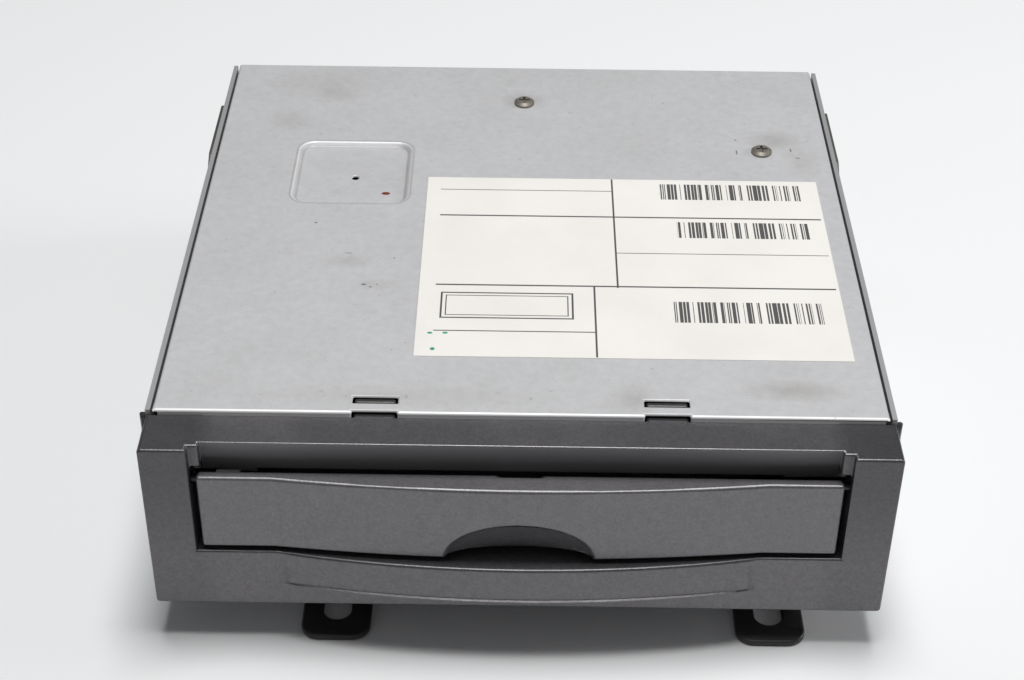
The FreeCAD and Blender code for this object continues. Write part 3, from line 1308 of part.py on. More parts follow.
traverse = new_body("traverse_plate")
raise_pad(traverse, "XY_Plane", traverse_z, plate_top,
          box_outline((-dims.traverse_half, dims.traverse_half), (traverse_front, traverse_rear)))
sink_pocket(traverse, "XY_Plane", traverse_z, plate_top, draw_damper_holes)
sink_pocket(traverse, "XY_Plane", traverse_z, plate_top,
            box_outline((-dims.sled_keel_half - 3, dims.sled_keel_half + 3),
                        (keel_ys[0] - 3, keel_ys[1] + dims.sled_travel + 3)))
keep("dampers", group(*[
    fuse(cylinder("z", place, frame_floor, traverse_z, dims.damper_radius),
         cylinder("z", place, traverse_z, plate_top, dims.damper_neck),
         cylinder("z", place, plate_top, plate_top + 1.8, dims.damper_radius - 0.5))
    for place in damper_places]))

# Spindle motor and turntable.
spindle_bore = dims.spindle_radius + dims.running_gap
stator_top = plate_top + dims.stator_high
disc_seat = disc_z - dims.disc_seat_drop
rotor_low = stator_top + 0.3
nose_top = disc_seat + dims.nose_high
keep("spindle_motor", ring("z", (as_size(0), spindle_y), plate_top, stator_top,
                           dims.stator_radius, spindle_bore))


def spin_body(name, corners):
    """A turned piece: an outline of radii and heights spun about the spindle's axis."""
    body = new_body(name)
    sketch = new_sketch(body, "XZ_Plane", -spindle_y)
    draw_polygon(sketch, corners)
    turning = body.newObject("PartDesign::Revolution", "turning")
    turning.Profile = sketch
    turning.ReferenceAxis = (sketch, ["V_Axis"])
    turning.Angle = 360
    doc.recompute([body])
    return body


spin_body("turntable", [
    (dims.spindle_radius, rotor_low), (dims.rotor_radius - 2, rotor_low),
    (dims.rotor_radius - 2, rotor_low + 3), (dims.nose_radius + 1.6, rotor_low + 3),
    (dims.nose_radius + 1.6, disc_seat - 1.6), (dims.rotor_radius, disc_seat - 1.6),
    (dims.rotor_radius, disc_seat), (dims.nose_radius, disc_seat),
    (dims.nose_radius, disc_seat + dims.nose_high / 2), (dims.nose_radius - 0.8, nose_top),
    (dims.spindle_radius, nose_top)])
keep("spindle_shaft", cylinder("z", (as_size(0), spindle_y), plate_top + 0.6, nose_top - 0.4,
                               dims.spindle_radius))

# Pickup sled on two guide rods, driven by a lead screw.
rod_z = plate_top + dims.rod_rise
screw_z = plate_top + dims.screw_rise
sled_front = front + dims.sled_front
sled_rear = sled_front + dims.sled_long
sled_low = plate_top + 0.6
sled_top = sled_low + dims.sled_high
rod_ends = (sled_front - 3.8, sled_rear + dims.sled_travel + 3)
rod_bore = dims.rod_radius + dims.running_gap
screw_bore = dims.screw_radius + dims.running_gap
sled = new_body("pickup_sled")
raise_pad(sled, "XY_Plane", sled_low, sled_top,
          box_outline((-dims.sled_half, dims.sled_half), (sled_front, sled_rear)))
raise_pad(sled, "XY_Plane", sled_low - 4.6, sled_low + overlap,
          box_outline((-dims.sled_keel_half, dims.sled_keel_half), keel_ys))
raise_pad(sled, "XY_Plane", screw_z - 3.2, screw_z + 3.2,
          box_outline((dims.sled_half - 1, dims.screw_x + 3.6), (keel_ys[0] + 1, keel_ys[1] - 1)))
sink_pocket(sled, "XY_Plane", sled_low, sled_top,
            round_outline(as_size(0), spindle_y, dims.rotor_radius + 1.8))
for x, z, radius in ((-dims.rod_x, rod_z, rod_bore), (dims.rod_x, rod_z, rod_bore),
                     (dims.screw_x, screw_z, screw_bore)):
    sink_pocket(sled, "XZ_Plane", sled_front - 1, sled_rear + 1, round_outline(x, z, radius))
keep("guide_rods", group(*[cylinder("y", (x, rod_z), *rod_ends, dims.rod_radius)
                           for x in (-dims.rod_x, dims.rod_x)]))
keep("lead_screw", cylinder("y", (dims.screw_x, screw_z), sled_front - 13, rod_ends[1],
                            dims.screw_radius))
sled_motor_rear = sled_front - 5
keep("sled_motor", cut(
    cylinder("y", (dims.screw_x, screw_z), sled_motor_rear - dims.sled_motor_long,
             sled_motor_rear, dims.sled_motor_radius),
    cylinder("y", (dims.screw_x, screw_z), sled_motor_rear - 9, sled_motor_rear, screw_bore)))
holder_top = sled_top + 0.6
front_holders = [
    cut(block((x - 5, x + 5), (sled_front - 4.2, sled_front - 0.6), (plate_top, rod_z + 4)),
        cylinder("y", (x, rod_z), *rod_ends, dims.rod_radius))
    for x in (-dims.rod_x, dims.rod_x)]
rear_holder = cut(
    block((-dims.rod_x - 5, dims.screw_x + 5),
          (rod_ends[1] - 2.4, rod_ends[1] + 0.6), (plate_top, holder_top)),
    cylinder("y", (-dims.rod_x, rod_z), *rod_ends, dims.rod_radius),
    cylinder("y", (dims.rod_x, rod_z), *rod_ends, dims.rod_radius),
    cylinder("y", (dims.screw_x, screw_z), *rod_ends, screw_bore))
keep("rod_holders", group(*front_holders, rear_holder))
lens_y = spindle_y + dims.lens_from_spindle
lens_top = sled_top + 2
keep("lens_carrier", cut(
    block((-7, 7), (lens_y - 6, lens_y + 6), (sled_top, sled_top + 1.4)),
    cylinder("z", (as_size(0), lens_y), sled_top, sled_top + 1.4, dims.lens_radius)))
keep("objective_lens", cylinder("z", (as_size(0), lens_y), sled_top, lens_top, dims.lens_radius))

# Clamp arm: a pressed arm with a rolled knuckle, its pin, brackets, spring and disc clamp.
arm_low = disc_z + dims.arm_clear
arm_high = arm_low + dims.arm_sheet
arm_hinge_y = front + dims.arm_hinge_y
arm_hinge_z = arm_low + dims.arm_sheet / 2
arm_front = front + dims.arm_front
arm_bore = dims.arm_pin_radius + dims.running_gap
arm = new_body("clamp_arm")
raise_pad(arm, "XY_Plane", arm_low, arm_high,
          polygon_outline([(-dims.arm_half, arm_front), (dims.arm_half, arm_front),
                           (dims.arm_half, arm_hinge_y - 20),
                           (dims.knuckle_half, arm_hinge_y - 8),
                           (dims.knuckle_half, arm_hinge_y), (-dims.knuckle_half, arm_hinge_y),
                           (-dims.knuckle_half, arm_hinge_y - 8),
                           (-dims.arm_half, arm_hinge_y - 20)]))
raise_pad(arm, "YZ_Plane", -dims.knuckle_half, dims.knuckle_half,
          round_outline(arm_hinge_y, arm_hinge_z, dims.knuckle_radius))
sink_pocket(arm, "XY_Plane", arm_hinge_z - dims.knuckle_radius, arm_hinge_z + dims.knuckle_radius,
            box_outline((-dims.knuckle_gap_half, dims.knuckle_gap_half),
                        (arm_hinge_y - 4.5, arm_hinge_y + 4.5)))
sink_pocket(arm, "YZ_Plane", -dims.knuckle_half, dims.knuckle_half,
            round_outline(arm_hinge_y, arm_hinge_z, arm_bore))
sink_pocket(arm, "XY_Plane", arm_low, arm_high,
            round_outline(as_size(0), spindle_y, dims.puck_neck + 0.4))
keep("clamp_hinge_pin", cylinder("x", (arm_hinge_y, arm_hinge_z), -dims.arm_pin_half,
                                 dims.arm_pin_half, dims.arm_pin_radius))
keep("hinge_brackets", group(*[
    cut(block((low, low + 4.5), (arm_hinge_y - 4, front + dims.cross_rear + 5),
              (arm_hinge_z - 3, frame_ceiling)),
        cylinder("x", (arm_hinge_y, arm_hinge_z), low, low + 4.5, dims.arm_pin_radius))
    for low in (-dims.arm_pin_half - 0.2, dims.arm_pin_half - 4.3)]))
clamp_turns = 7
coil_start = -dims.clamp_spring_pitch * clamp_turns / 2
keep("clamp_spring", from_shape(coil_shape(
    Vector(coil_start.value, arm_hinge_y.value, arm_hinge_z.value),
    dims.clamp_spring_radius, dims.clamp_spring_wire, dims.clamp_spring_pitch, clamp_turns)))
puck_low = disc_z + dims.puck_clear
puck_flange = arm_high + 0.3
spin_body("disc_clamp", [
    (0, puck_low + 1.5), (dims.nose_radius + 0.8, puck_low + 1.5),
    (dims.nose_radius + 0.8, puck_low), (dims.puck_radius, puck_low),
    (dims.puck_radius, puck_low + dims.puck_high), (dims.puck_neck, puck_low + dims.puck_high),
    (dims.puck_neck, puck_flange), (dims.puck_neck + 3, puck_flange),
    (dims.puck_neck + 3, puck_flange + 1.2), (0, puck_flange + 1.2)])

doc.recompute()
for thing in doc.Objects:
    if "Invalid" in thing.State or "Error" in thing.State:
        raise ValueError("%s failed: %s" % (thing.Name, thing.State))
for name, thing in parts.items():
    if thing.Shape.isNull() or not thing.Shape.isValid() or not thing.Shape.Solids:
        raise ValueError("%s has no valid solid" % name)

os.makedirs("parts", exist_ok=True)
for name, thing in parts.items():
    thing.Shape.exportStep("parts/%s.step" % name)
print("%d sub-parts written" % len(parts))
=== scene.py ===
import math

import bmesh
import bpy
import numpy as np
from mathutils import Matrix, Vector


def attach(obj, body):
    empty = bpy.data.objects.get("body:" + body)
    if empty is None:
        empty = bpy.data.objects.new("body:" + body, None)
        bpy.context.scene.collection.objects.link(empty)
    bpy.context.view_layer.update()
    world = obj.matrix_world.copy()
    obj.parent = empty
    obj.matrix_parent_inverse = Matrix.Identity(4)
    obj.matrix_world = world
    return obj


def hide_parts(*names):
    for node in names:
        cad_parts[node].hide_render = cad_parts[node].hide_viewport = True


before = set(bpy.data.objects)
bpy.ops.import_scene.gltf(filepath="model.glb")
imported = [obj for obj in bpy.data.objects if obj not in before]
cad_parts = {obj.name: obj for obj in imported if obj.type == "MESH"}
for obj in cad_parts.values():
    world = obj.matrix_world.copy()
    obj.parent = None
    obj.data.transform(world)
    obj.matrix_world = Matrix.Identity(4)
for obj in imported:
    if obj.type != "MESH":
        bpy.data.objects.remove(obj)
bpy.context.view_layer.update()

# Studio. A pale floor under the feet, one soft lamp above and a little behind the front edge, a
# weak low one at the right, and the even, dim light of a pale room.
MM = 0.001
FRONT = -92.475
FOCAL_MM = 67.43
CAMERA_AT = (-1.107, FRONT - 339.122, 345.587)
CAMERA_TURNS = (-53.29979, -0.16072, -0.77586)
FLOOR_HALF = 2.5
FLOOR_SUNK = 0.0001


def turn_matrix(degrees_x, degrees_y, degrees_z):
    """World to camera: the turn about X first, then Y, then Z."""
    turns = [Matrix.Rotation(math.radians(angle), 3, axis)
             for angle, axis in ((degrees_z, "Z"), (degrees_y, "Y"), (degrees_x, "X"))]
    return turns[0] @ turns[1] @ turns[2]


def grid_mesh(name, points):
    """A mesh over a grid of points (rows, columns, 3): one four-sided face per cell."""
    rows, columns = points.shape[:2]
    index = np.arange(rows * columns).reshape(rows, columns)
    cells = np.stack([index[:-1, :-1], index[:-1, 1:], index[1:, 1:], index[1:, :-1]], axis=-1)
    mesh = bpy.data.meshes.new(name)
    mesh.from_pydata(points.reshape(-1, 3).tolist(), [], cells.reshape(-1, 4).tolist())
    return mesh


def place(name, mesh):
    """An object with this mesh, linked into the scene at the origin."""
    thing = bpy.data.objects.new(name, mesh)
    bpy.context.scene.collection.objects.link(thing)
    return thing


def new_material(name):
    """An empty material: (material, nodes, links, principled shader, object coordinates)."""
    made = bpy.data.materials.new(name)
    made.use_nodes = True
    nodes = made.node_tree.nodes
    links = made.node_tree.links
    nodes.clear()
    output = nodes.new("ShaderNodeOutputMaterial")
    shader = nodes.new("ShaderNodeBsdfPrincipled")
    links.new(shader.outputs["BSDF"], output.inputs["Surface"])
    coordinates = nodes.new("ShaderNodeTexCoord")
    return made, nodes, links, shader, coordinates.outputs["Object"]


steps = np.linspace(-FLOOR_HALF, FLOOR_HALF, 3)
floor_points = np.stack(np.meshgrid(steps, steps, indexing="xy") + [np.full((3, 3), -FLOOR_SUNK)],
                        axis=-1)
floor = place("floor", grid_mesh("floor", floor_points))
floor_paint, nodes, links, shader, where = new_material("pale_floor")
shader.inputs["Base Color"].default_value = (0.88, 0.885, 0.89, 1)
shader.inputs["Roughness"].default_value = 0.6
shader.inputs["Specular IOR Level"].default_value = 0.2
floor.data.materials.append(floor_paint)


def soft_lamp(name, at, aim, size, watts):
    """A square area lamp at a place, aimed at a point."""
    data = bpy.data.lights.new(name, "AREA")
    data.shape = "SQUARE"
    data.size = size
    data.energy = watts
    lamp = bpy.data.objects.new(name, data)
    lamp.location = at
    lamp.rotation_euler = (Vector(aim) - Vector(at)).to_track_quat("-Z", "Y").to_euler()
    lamp.visible_camera = False
    bpy.context.scene.collection.objects.link(lamp)


soft_lamp("lamp_above", (0.05, 0.02, 1.5), (0, 0.0, 0.03), 0.52, 18)
soft_lamp("lamp_right", (1.1, 0.1, 0.45), (0, 0, 0.03), 0.4, 4)

world = bpy.data.worlds.new("room")
world.use_nodes = True
world.node_tree.nodes["Background"].inputs["Color"].default_value = (0.97, 0.985, 1.0, 1)
world.node_tree.nodes["Background"].inputs["Strength"].default_value = 0.14
bpy.context.scene.world = world
bpy.context.scene.view_settings.view_transform = "Standard"

camera_data = bpy.data.cameras.new("camera")
camera_data.sensor_width = 36
camera_data.lens = FOCAL_MM
camera = bpy.data.objects.new("camera", camera_data)
camera.matrix_world = (Matrix.Translation(Vector(CAMERA_AT) * MM)
                       @ turn_matrix(*CAMERA_TURNS).transposed().to_4x4())
bpy.context.scene.collection.objects.link(camera)
bpy.context.scene.camera = camera

# Tray and panels. Zinc-coated steel sheet, folded on a press brake: a cool grey with the
# faint cloudiness of the coating, fine rolling grain and handling smudges.


def group_of(name, inputs, outputs):
    """A shader node group with these sockets: (tree, its input node, its output node)."""
    tree = bpy.data.node_groups.new(name, "ShaderNodeTree")
    for label, kind, value in inputs:
        socket = tree.interface.new_socket(label, in_out="INPUT", socket_type=kind)
        if value is not None:
            socket.default_value = value
    for label, kind in outputs:
        tree.interface.new_socket(label, in_out="OUTPUT", socket_type=kind)
    return tree, tree.nodes.new("NodeGroupInput"), tree.nodes.new("NodeGroupOutput")


def feed(tree, socket, value):
    """Join a socket to another socket, or write a plain value on it."""
    if hasattr(value, "is_output"):
        tree.links.new(value, socket)
    else:
        socket.default_value = value


def noise_in(tree, vector, scale, detail, roughness=0.55):
    """A noise texture in a tree, fed by a vector socket; returns its factor socket."""
    noise = tree.nodes.new("ShaderNodeTexNoise")
    noise.inputs["Scale"].default_value = scale
    noise.inputs["Detail"].default_value = detail
    noise.inputs["Roughness"].default_value = roughness
    tree.links.new(vector, noise.inputs["Vector"])
    return noise.outputs["Fac"]


def span_in(tree, value, low, high, to_low=0.0, to_high=1.0):
    """A clamped change of range of a value socket; returns the result socket."""
    span = tree.nodes.new("ShaderNodeMapRange")
    for label, number in (("Value", value), ("From Min", low), ("From Max", high),
                          ("To Min", to_low), ("To Max", to_high)):
        feed(tree, span.inputs[label], number)
    return span.outputs["Result"]


def math_in(tree, operation, *values):
    """One operation on sockets or numbers; returns the result socket."""
    node = tree.nodes.new("ShaderNodeMath")
    node.operation = operation
    for socket, value in zip(node.inputs, values):
        feed(tree, socket, value)
    return node.outputs["Value"]


def colour_mix_in(tree, factor, one, other):
    """A mix of two colours, sockets or tuples, by a factor socket; returns the result socket."""
    mix = tree.nodes.new("ShaderNodeMix")
    mix.data_type = "RGBA"
    tree.links.new(factor, mix.inputs["Factor"])
    for label, value in (("A", one), ("B", other)):
        feed(tree, [s for s in mix.inputs if s.name == label and s.type == "RGBA"][0], value)
    return [s for s in mix.outputs if s.type == "RGBA"][0]


def stretched_in(tree, vector, scale, shift=(0, 0, 0)):
    """The coordinates stretched along each axis and then shifted; returns the vector socket."""
    mapping = tree.nodes.new("ShaderNodeMapping")
    mapping.inputs["Location"].default_value = shift
    mapping.inputs["Scale"].default_value = scale
    tree.links.new(vector, mapping.inputs["Vector"])
    return mapping.outputs["Vector"]


def axes_in(tree, vector):
    """The X, Y and Z sockets of a vector socket."""
    split = tree.nodes.new("ShaderNodeSeparateXYZ")
    tree.links.new(vector, split.inputs["Vector"])
    return [split.outputs[axis] for axis in "XYZ"]


FINISH_INPUTS = [
    ("Vector", "NodeSocketVector", None),
    ("Clean", "NodeSocketColor", (0.5, 0.5, 0.5, 1)),
    ("Worn", "NodeSocketColor", (0.4, 0.4, 0.4, 1)),
    ("Smooth", "NodeSocketFloat", 0.4),
    ("Rough", "NodeSocketFloat", 0.6),
]
FINISH_OUTPUTS = [("Color", "NodeSocketColor"), ("Roughness", "NodeSocketFloat"),
                  ("Height", "NodeSocketFloat")]
sheet_group, source, sink = group_of("sheet_finish", FINISH_INPUTS, FINISH_OUTPUTS)
cloud = span_in(sheet_group, noise_in(sheet_group, source.outputs["Vector"], 26, 4), 0.42, 0.75)
smudge = span_in(sheet_group, noise_in(sheet_group, source.outputs["Vector"], 9, 6, 0.7),
                 0.56, 0.78)
fine = noise_in(sheet_group, source.outputs["Vector"], 1500, 2)
rolling = noise_in(sheet_group, stretched_in(sheet_group, source.outputs["Vector"], (1, 9, 1)),
                   240, 3)
dulling = math_in(sheet_group, "ADD", math_in(sheet_group, "MULTIPLY", cloud, 0.35),
                  math_in(sheet_group, "MULTIPLY", smudge, 0.45))
dulling = math_in(sheet_group, "ADD", dulling, math_in(sheet_group, "MULTIPLY", fine, 0.12))
sheet_group.links.new(colour_mix_in(sheet_group, dulling, source.outputs["Clean"],
                                    source.outputs["Worn"]), sink.inputs["Color"])
sheet_group.links.new(span_in(sheet_group, dulling, 0.0, 0.8, source.outputs["Smooth"],
                              source.outputs["Rough"]), sink.inputs["Roughness"])
sheet_group.links.new(math_in(sheet_group, "ADD", rolling, fine), sink.inputs["Height"])


def bump_from(nodes, links, height, shader, strength, distance):
    """A bump node between a height socket and the shader's normal."""
    bump = nodes.new("ShaderNodeBump")
    bump.inputs["Strength"].default_value = strength
    bump.inputs["Distance"].default_value = distance
    links.new(height, bump.inputs["Height"])
    links.new(bump.outputs["Normal"], shader.inputs["Normal"])


def finish(name, tree, clean, worn, roughness, metallic=0.0, strength=0.12):
    """A material from a finish group: (material, its tree, shader, group, coordinates)."""
    made, nodes, links, shader, where = new_material(name)
    placed = nodes.new("ShaderNodeGroup")
    placed.node_tree = tree
    links.new(where, placed.inputs["Vector"])
    for label, value in (("Clean", clean + (1,)), ("Worn", worn + (1,)),
                         ("Smooth", roughness[0]), ("Rough", roughness[1])):
        placed.inputs[label].default_value = value
    links.new(placed.outputs["Color"], shader.inputs["Base Color"])
    links.new(placed.outputs["Roughness"], shader.inputs["Roughness"])
    shader.inputs["Metallic"].default_value = metallic
    bump_from(nodes, links, placed.outputs["Height"], shader, strength, 0.0002)
    return made, made.node_tree, shader, placed, where


def coat(made, *names):
    """Give CAD nodes this material in every slot."""
    for name in names:
        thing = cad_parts[name]
        for slot in thing.material_slots:
            slot.material = made
        if not thing.material_slots:
            thing.data.materials.append(made)


zinc, *_ = finish("zinc_sheet", sheet_group, (0.50, 0.505, 0.515), (0.36, 0.36, 0.36),
                  (0.42, 0.62), 0.55)
coat(zinc, "chassis_tray", "front_panel", "rear_panel")

# Top cover. The same sheet, pressed with a sunk pad and turned down at its edges. It has been
# handled: smears round the screws and at the rear left, a dab of red paint by the pad's hole,
# dark specks and a few dots of green pen. Painted shade and a painted highlight line run round
# the pad's rim, and a painted highlight lightens the turned-down front edge.
COVER_SMEARS = [
    ((-60, 172), (22, 12), 0.13),
    ((-57, 166), (9, 7), 0.22),
    ((-68, 150), (8, 7), 0.16),
    ((-46, 77), (8, 4), 0.17),
    ((-38, 66), (7, 3), 0.12),
    ((72, 141), (10, 7), 0.26),
    ((79, 130), (6, 10), 0.14),
    ((0, 163), (8, 5), 0.3),
    ((-30, 20), (40, 5), 0.12),
    ((66, 24), (15, 5), 0.3),
    ((27, 20), (7, 6), 0.24),
]
COVER_SPECKS = [
    ((-41.0, 66.3), (0.8, 0.5)), ((-39.2, 65.2), (0.5, 0.35)), ((-37.6, 66.4), (0.3, 0.3)),
    ((-56.0, 95.0), (0.5, 0.4)), ((-33.8, 78.5), (0.35, 0.3)), ((-46.0, 80.6), (1.3, 0.22)),
    ((61.2, 141.3), (0.4, 0.4)), ((61.0, 134.5), (0.3, 1.5)), ((76.6, 136.0), (0.3, 1.2)),
    ((78.2, 131.8), (0.9, 0.3)),
]
PAD_AT = (-48.0, 121.5)
PAD_HALF = 16.2
PAD_CORNER = 4.6
PAD_SLOPE = 1.2
COVER_EDGE_Y = 14.3
DAB_AT = (-38.2, 112)
DAB_RADII = (1.25, 0.8)
PEN_DOTS = [
    ((-23.0, 45.5), (0.8, 0.5)), ((-19.2, 45.6), (0.8, 0.5)), ((-22.1, 38.9), (0.7, 0.75)),
]
PEN_GREEN = (0.05, 0.33, 0.16, 1)
DAB_RED = (0.2, 0.045, 0.03, 1)
DIRT_BROWN = (0.19, 0.155, 0.115, 1)
SPECK_BROWN = (0.13, 0.12, 0.11, 1)
# The grey of the painted shade along the pad's rim.
PAD_RIM_SHADE_GREY = (0.14, 0.13, 0.12, 1)
MOTTLE_GREY = (0.36, 0.355, 0.35, 1)
WELD_APART = 1e-6
FLAT_WITHIN = 0.3


def softened_copy(node, name, width, body, made, segments=2, angle=32):
    """A welded copy of a CAD node with its flat faces joined and its edges rounded."""
    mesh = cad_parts[node].data.copy()
    mesh.name = name
    work = bmesh.new()
    work.from_mesh(mesh)
    bmesh.ops.remove_doubles(work, verts=work.verts, dist=WELD_APART)
    bmesh.ops.dissolve_limit(work, angle_limit=math.radians(FLAT_WITHIN), verts=work.verts,
                             edges=work.edges)
    work.to_mesh(mesh)
    work.free()
    mesh.materials.clear()
    mesh.materials.append(made)
    piece = place(name, mesh)
    bevel = piece.modifiers.new("edge_radius", "BEVEL")
    bevel.width = width
    bevel.segments = segments
    bevel.limit_method = "ANGLE"
    bevel.angle_limit = math.radians(angle)
    bevel.use_clamp_overlap = False
    evened = piece.modifiers.new("flat_faces_first", "WEIGHTED_NORMAL")
    evened.weight = 100
    evened.keep_sharp = True
    mesh.shade_smooth()
    mesh.set_sharp_from_angle(angle=math.radians(angle))
    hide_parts(node)
    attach(piece, body)
    return piece


def vector_in(tree, operation, *values):
    """One vector operation on sockets or triples; returns the result socket."""
    node = tree.nodes.new("ShaderNodeVectorMath")
    node.operation = operation
    for socket, value in zip(node.inputs, values):
        feed(tree, socket, value)
    return node.outputs["Value" if operation == "LENGTH" else "Vector"]


def blot_in(tree, where, centre, radii, soft=0.5, ragged=0.5):
    """A mask that is 1 inside an ellipse seen from above and fades over its ragged rim."""
    x, y = centre[0] * MM, (FRONT + centre[1]) * MM
    wide, long = radii[0] * MM, radii[1] * MM
    squeezed = stretched_in(tree, where, (1 / wide, 1 / long, 0), (-x / wide, -y / long, 0))
    rim_noise = noise_in(tree, where, 1.2 / min(wide, long), 5, 0.65)
    reach = math_in(tree, "ADD", vector_in(tree, "LENGTH", squeezed),
                    math_in(tree, "MULTIPLY", rim_noise, ragged))
    return span_in(tree, reach, 1.0 + ragged / 2, 1.0 + ragged / 2 - soft)


def pen_dotted(tree, where, colour):
    """The colour with the dots of green pen over it."""
    for centre, radii in PEN_DOTS:
        colour = colour_mix_in(tree, blot_in(tree, where, centre, radii, 0.3, 0.3), colour,
                               PEN_GREEN)
    return colour


def pad_distance_in(tree, where):
    """Distance outside the pad's rim.

    length(max(abs(p - centre) - (half - corner), 0)) - corner, seen from above."""
    at = stretched_in(tree, where, (1, 1, 0), (-PAD_AT[0] * MM, -(FRONT + PAD_AT[1]) * MM, 0))
    past = vector_in(tree, "SUBTRACT", vector_in(tree, "ABSOLUTE", at),
                     ((PAD_HALF - PAD_CORNER) * MM,) * 3)
    past = vector_in(tree, "MAXIMUM", past, (0, 0, 0))
    return math_in(tree, "SUBTRACT", vector_in(tree, "LENGTH", past), PAD_CORNER * MM)


def line_in(tree, distance, at, half_wide):
    """A mask that is 1 where a distance is at this value and fades within the half width."""
    away = math_in(tree, "ABSOLUTE", math_in(tree, "SUBTRACT", distance, at * MM))
    return span_in(tree, away, half_wide * MM, 0.0)


def stained_in(tree, mask, strength, colour, stain):
    """The colour with a stain over it where the mask says, at this strength."""
    return colour_mix_in(tree, math_in(tree, "MULTIPLY", mask, strength), colour, stain)


cover_zinc, tree, shader, placed, where = finish(
    "cover_zinc", sheet_group, (0.63, 0.633, 0.645), (0.5, 0.5, 0.5), (0.5, 0.66), 0.25)
dirt = None
for centre, radii, strength in COVER_SMEARS:
    smear = math_in(tree, "MULTIPLY", blot_in(tree, where, centre, radii, 0.9, 0.9), strength)
    dirt = smear if dirt is None else math_in(tree, "MAXIMUM", dirt, smear)
mottle = math_in(tree, "ADD",
                 span_in(tree, noise_in(tree, where, 380, 4, 0.7), 0.35, 0.7, 0.0, 0.22),
                 span_in(tree, noise_in(tree, where, 60, 5, 0.7), 0.4, 0.75, 0.0, 0.14))
colour = colour_mix_in(tree, mottle, placed.outputs["Color"], MOTTLE_GREY)
colour = colour_mix_in(tree, dirt, colour, DIRT_BROWN)
rim = pad_distance_in(tree, where)
# Painted shade: darker lines at the foot of the pad's slope and just outside its rim.
pad_rim_shade = math_in(tree, "MAXIMUM", line_in(tree, rim, -PAD_SLOPE, 0.5),
                line_in(tree, rim, 0.45, 0.45))
colour = stained_in(tree, pad_rim_shade, 0.35, colour, PAD_RIM_SHADE_GREY)
# Painted highlight: a near-white line just inside the pad's rim.
colour = stained_in(tree, line_in(tree, rim, -0.1, 0.4), 0.45, colour, (0.95, 0.95, 0.95, 1))
across, along, up = axes_in(tree, where)
# Painted highlight: the strip over the cover's turned-down front edge is mixed most of the way to
# white.
front_fold_highlight = math_in(tree, "LESS_THAN", along, (FRONT + COVER_EDGE_Y) * MM)
colour = stained_in(tree, front_fold_highlight, 0.85, colour, (1.0, 1.0, 1.0, 1))
pitted = span_in(tree, noise_in(tree, where, 640, 2), 0.7, 0.78, 0.0, 0.4)
for centre, radii in COVER_SPECKS:
    pitted = math_in(tree, "MAXIMUM", pitted, math_in(
        tree, "MULTIPLY", blot_in(tree, where, centre, radii, 0.4, 0.6), 0.75))
colour = colour_mix_in(tree, pitted, colour, SPECK_BROWN)
colour = colour_mix_in(tree, blot_in(tree, where, DAB_AT, DAB_RADII, 0.12, 0.3), colour, DAB_RED)
tree.links.new(pen_dotted(tree, where, colour), shader.inputs["Base Color"])
softened_copy("top_cover", "cover_shell", 0.0004, "casing", cover_zinc)

# Label. A matt paper sticker on the cover, ruled into fields, with striped patches as a printer
# of such labels leaves them. It carries no words.
LABEL_RULES = [
    (24.4, 24.9, 66, 118.8), (18.3, 18.8, 36.2, 66.6), (-22.9, 24.5, 112.4, 112.7),
    (-22.6, 81, 99.2, 99.8), (24.5, 81, 81.9, 82.2), (-22.4, 81, 66.3, 66.9),
    (-22.2, 18.5, 46.4, 46.8),
    (-20.9, 13.1, 51.9, 52.4), (-20.9, 13.1, 62.8, 63.3), (-20.9, -20.4, 51.9, 63.3),
    (12.6, 13.1, 51.9, 63.3), (-19.6, 11.8, 53.2, 53.5), (-19.6, 11.8, 61.7, 62.0),
    (-19.6, -19.3, 53.2, 62.0), (11.5, 11.8, 53.2, 62.0),
]
LABEL_STRIPES = [(37.8, 76.6, 108.7, 116.6), (41.6, 77, 89.7, 97.4), (38.5, 76.3, 51.2, 60.2)]
STRIPE_PITCH = 1.15
STRIPE_SHARE = 0.56


def patches_in(tree, x, y, patches):
    """A mask that is 1 inside any of these upright rectangles."""
    mask = None
    for x0, x1, y0, y1 in patches:
        across = math_in(tree, "COMPARE", x, (x0 + x1) / 2 * MM, (x1 - x0) / 2 * MM)
        along = math_in(tree, "COMPARE", y, (FRONT + (y0 + y1) / 2) * MM, (y1 - y0) / 2 * MM)
        patch = math_in(tree, "MULTIPLY", across, along)
        mask = patch if mask is None else math_in(tree, "MAXIMUM", mask, patch)
    return mask


label_paper, nodes, links, shader, where = new_material("label_paper")
tree = label_paper.node_tree
across, along, up = axes_in(tree, where)
rules = patches_in(tree, across, along, LABEL_RULES)
jitter = nodes.new("ShaderNodeTexNoise")
jitter.noise_dimensions = "1D"
jitter.inputs["Scale"].default_value = 700
links.new(across, jitter.inputs["W"])
phase = math_in(tree, "ADD", math_in(tree, "DIVIDE", across, STRIPE_PITCH * MM),
                math_in(tree, "MULTIPLY", jitter.outputs["Fac"], 2.6))
stripes = math_in(tree, "MULTIPLY", patches_in(tree, across, along, LABEL_STRIPES),
                  math_in(tree, "LESS_THAN", math_in(tree, "FRACT", phase), STRIPE_SHARE))
ink = math_in(tree, "MAXIMUM", rules, stripes)
fibre = noise_in(tree, where, 900, 3)
age = span_in(tree, noise_in(tree, where, 35, 4), 0.4, 0.8)
paper = colour_mix_in(tree, age, (0.87, 0.845, 0.80, 1), (0.80, 0.775, 0.73, 1))
colour = colour_mix_in(tree, math_in(tree, "MULTIPLY", ink, 0.93), paper, (0.03, 0.03, 0.035, 1))
links.new(pen_dotted(tree, where, colour), shader.inputs["Base Color"])
links.new(span_in(tree, fibre, 0.3, 0.7, 0.5, 0.62), shader.inputs["Roughness"])
bump_from(nodes, links, fibre, shader, 0.05, 0.0001)
coat(label_paper, "paper_label")

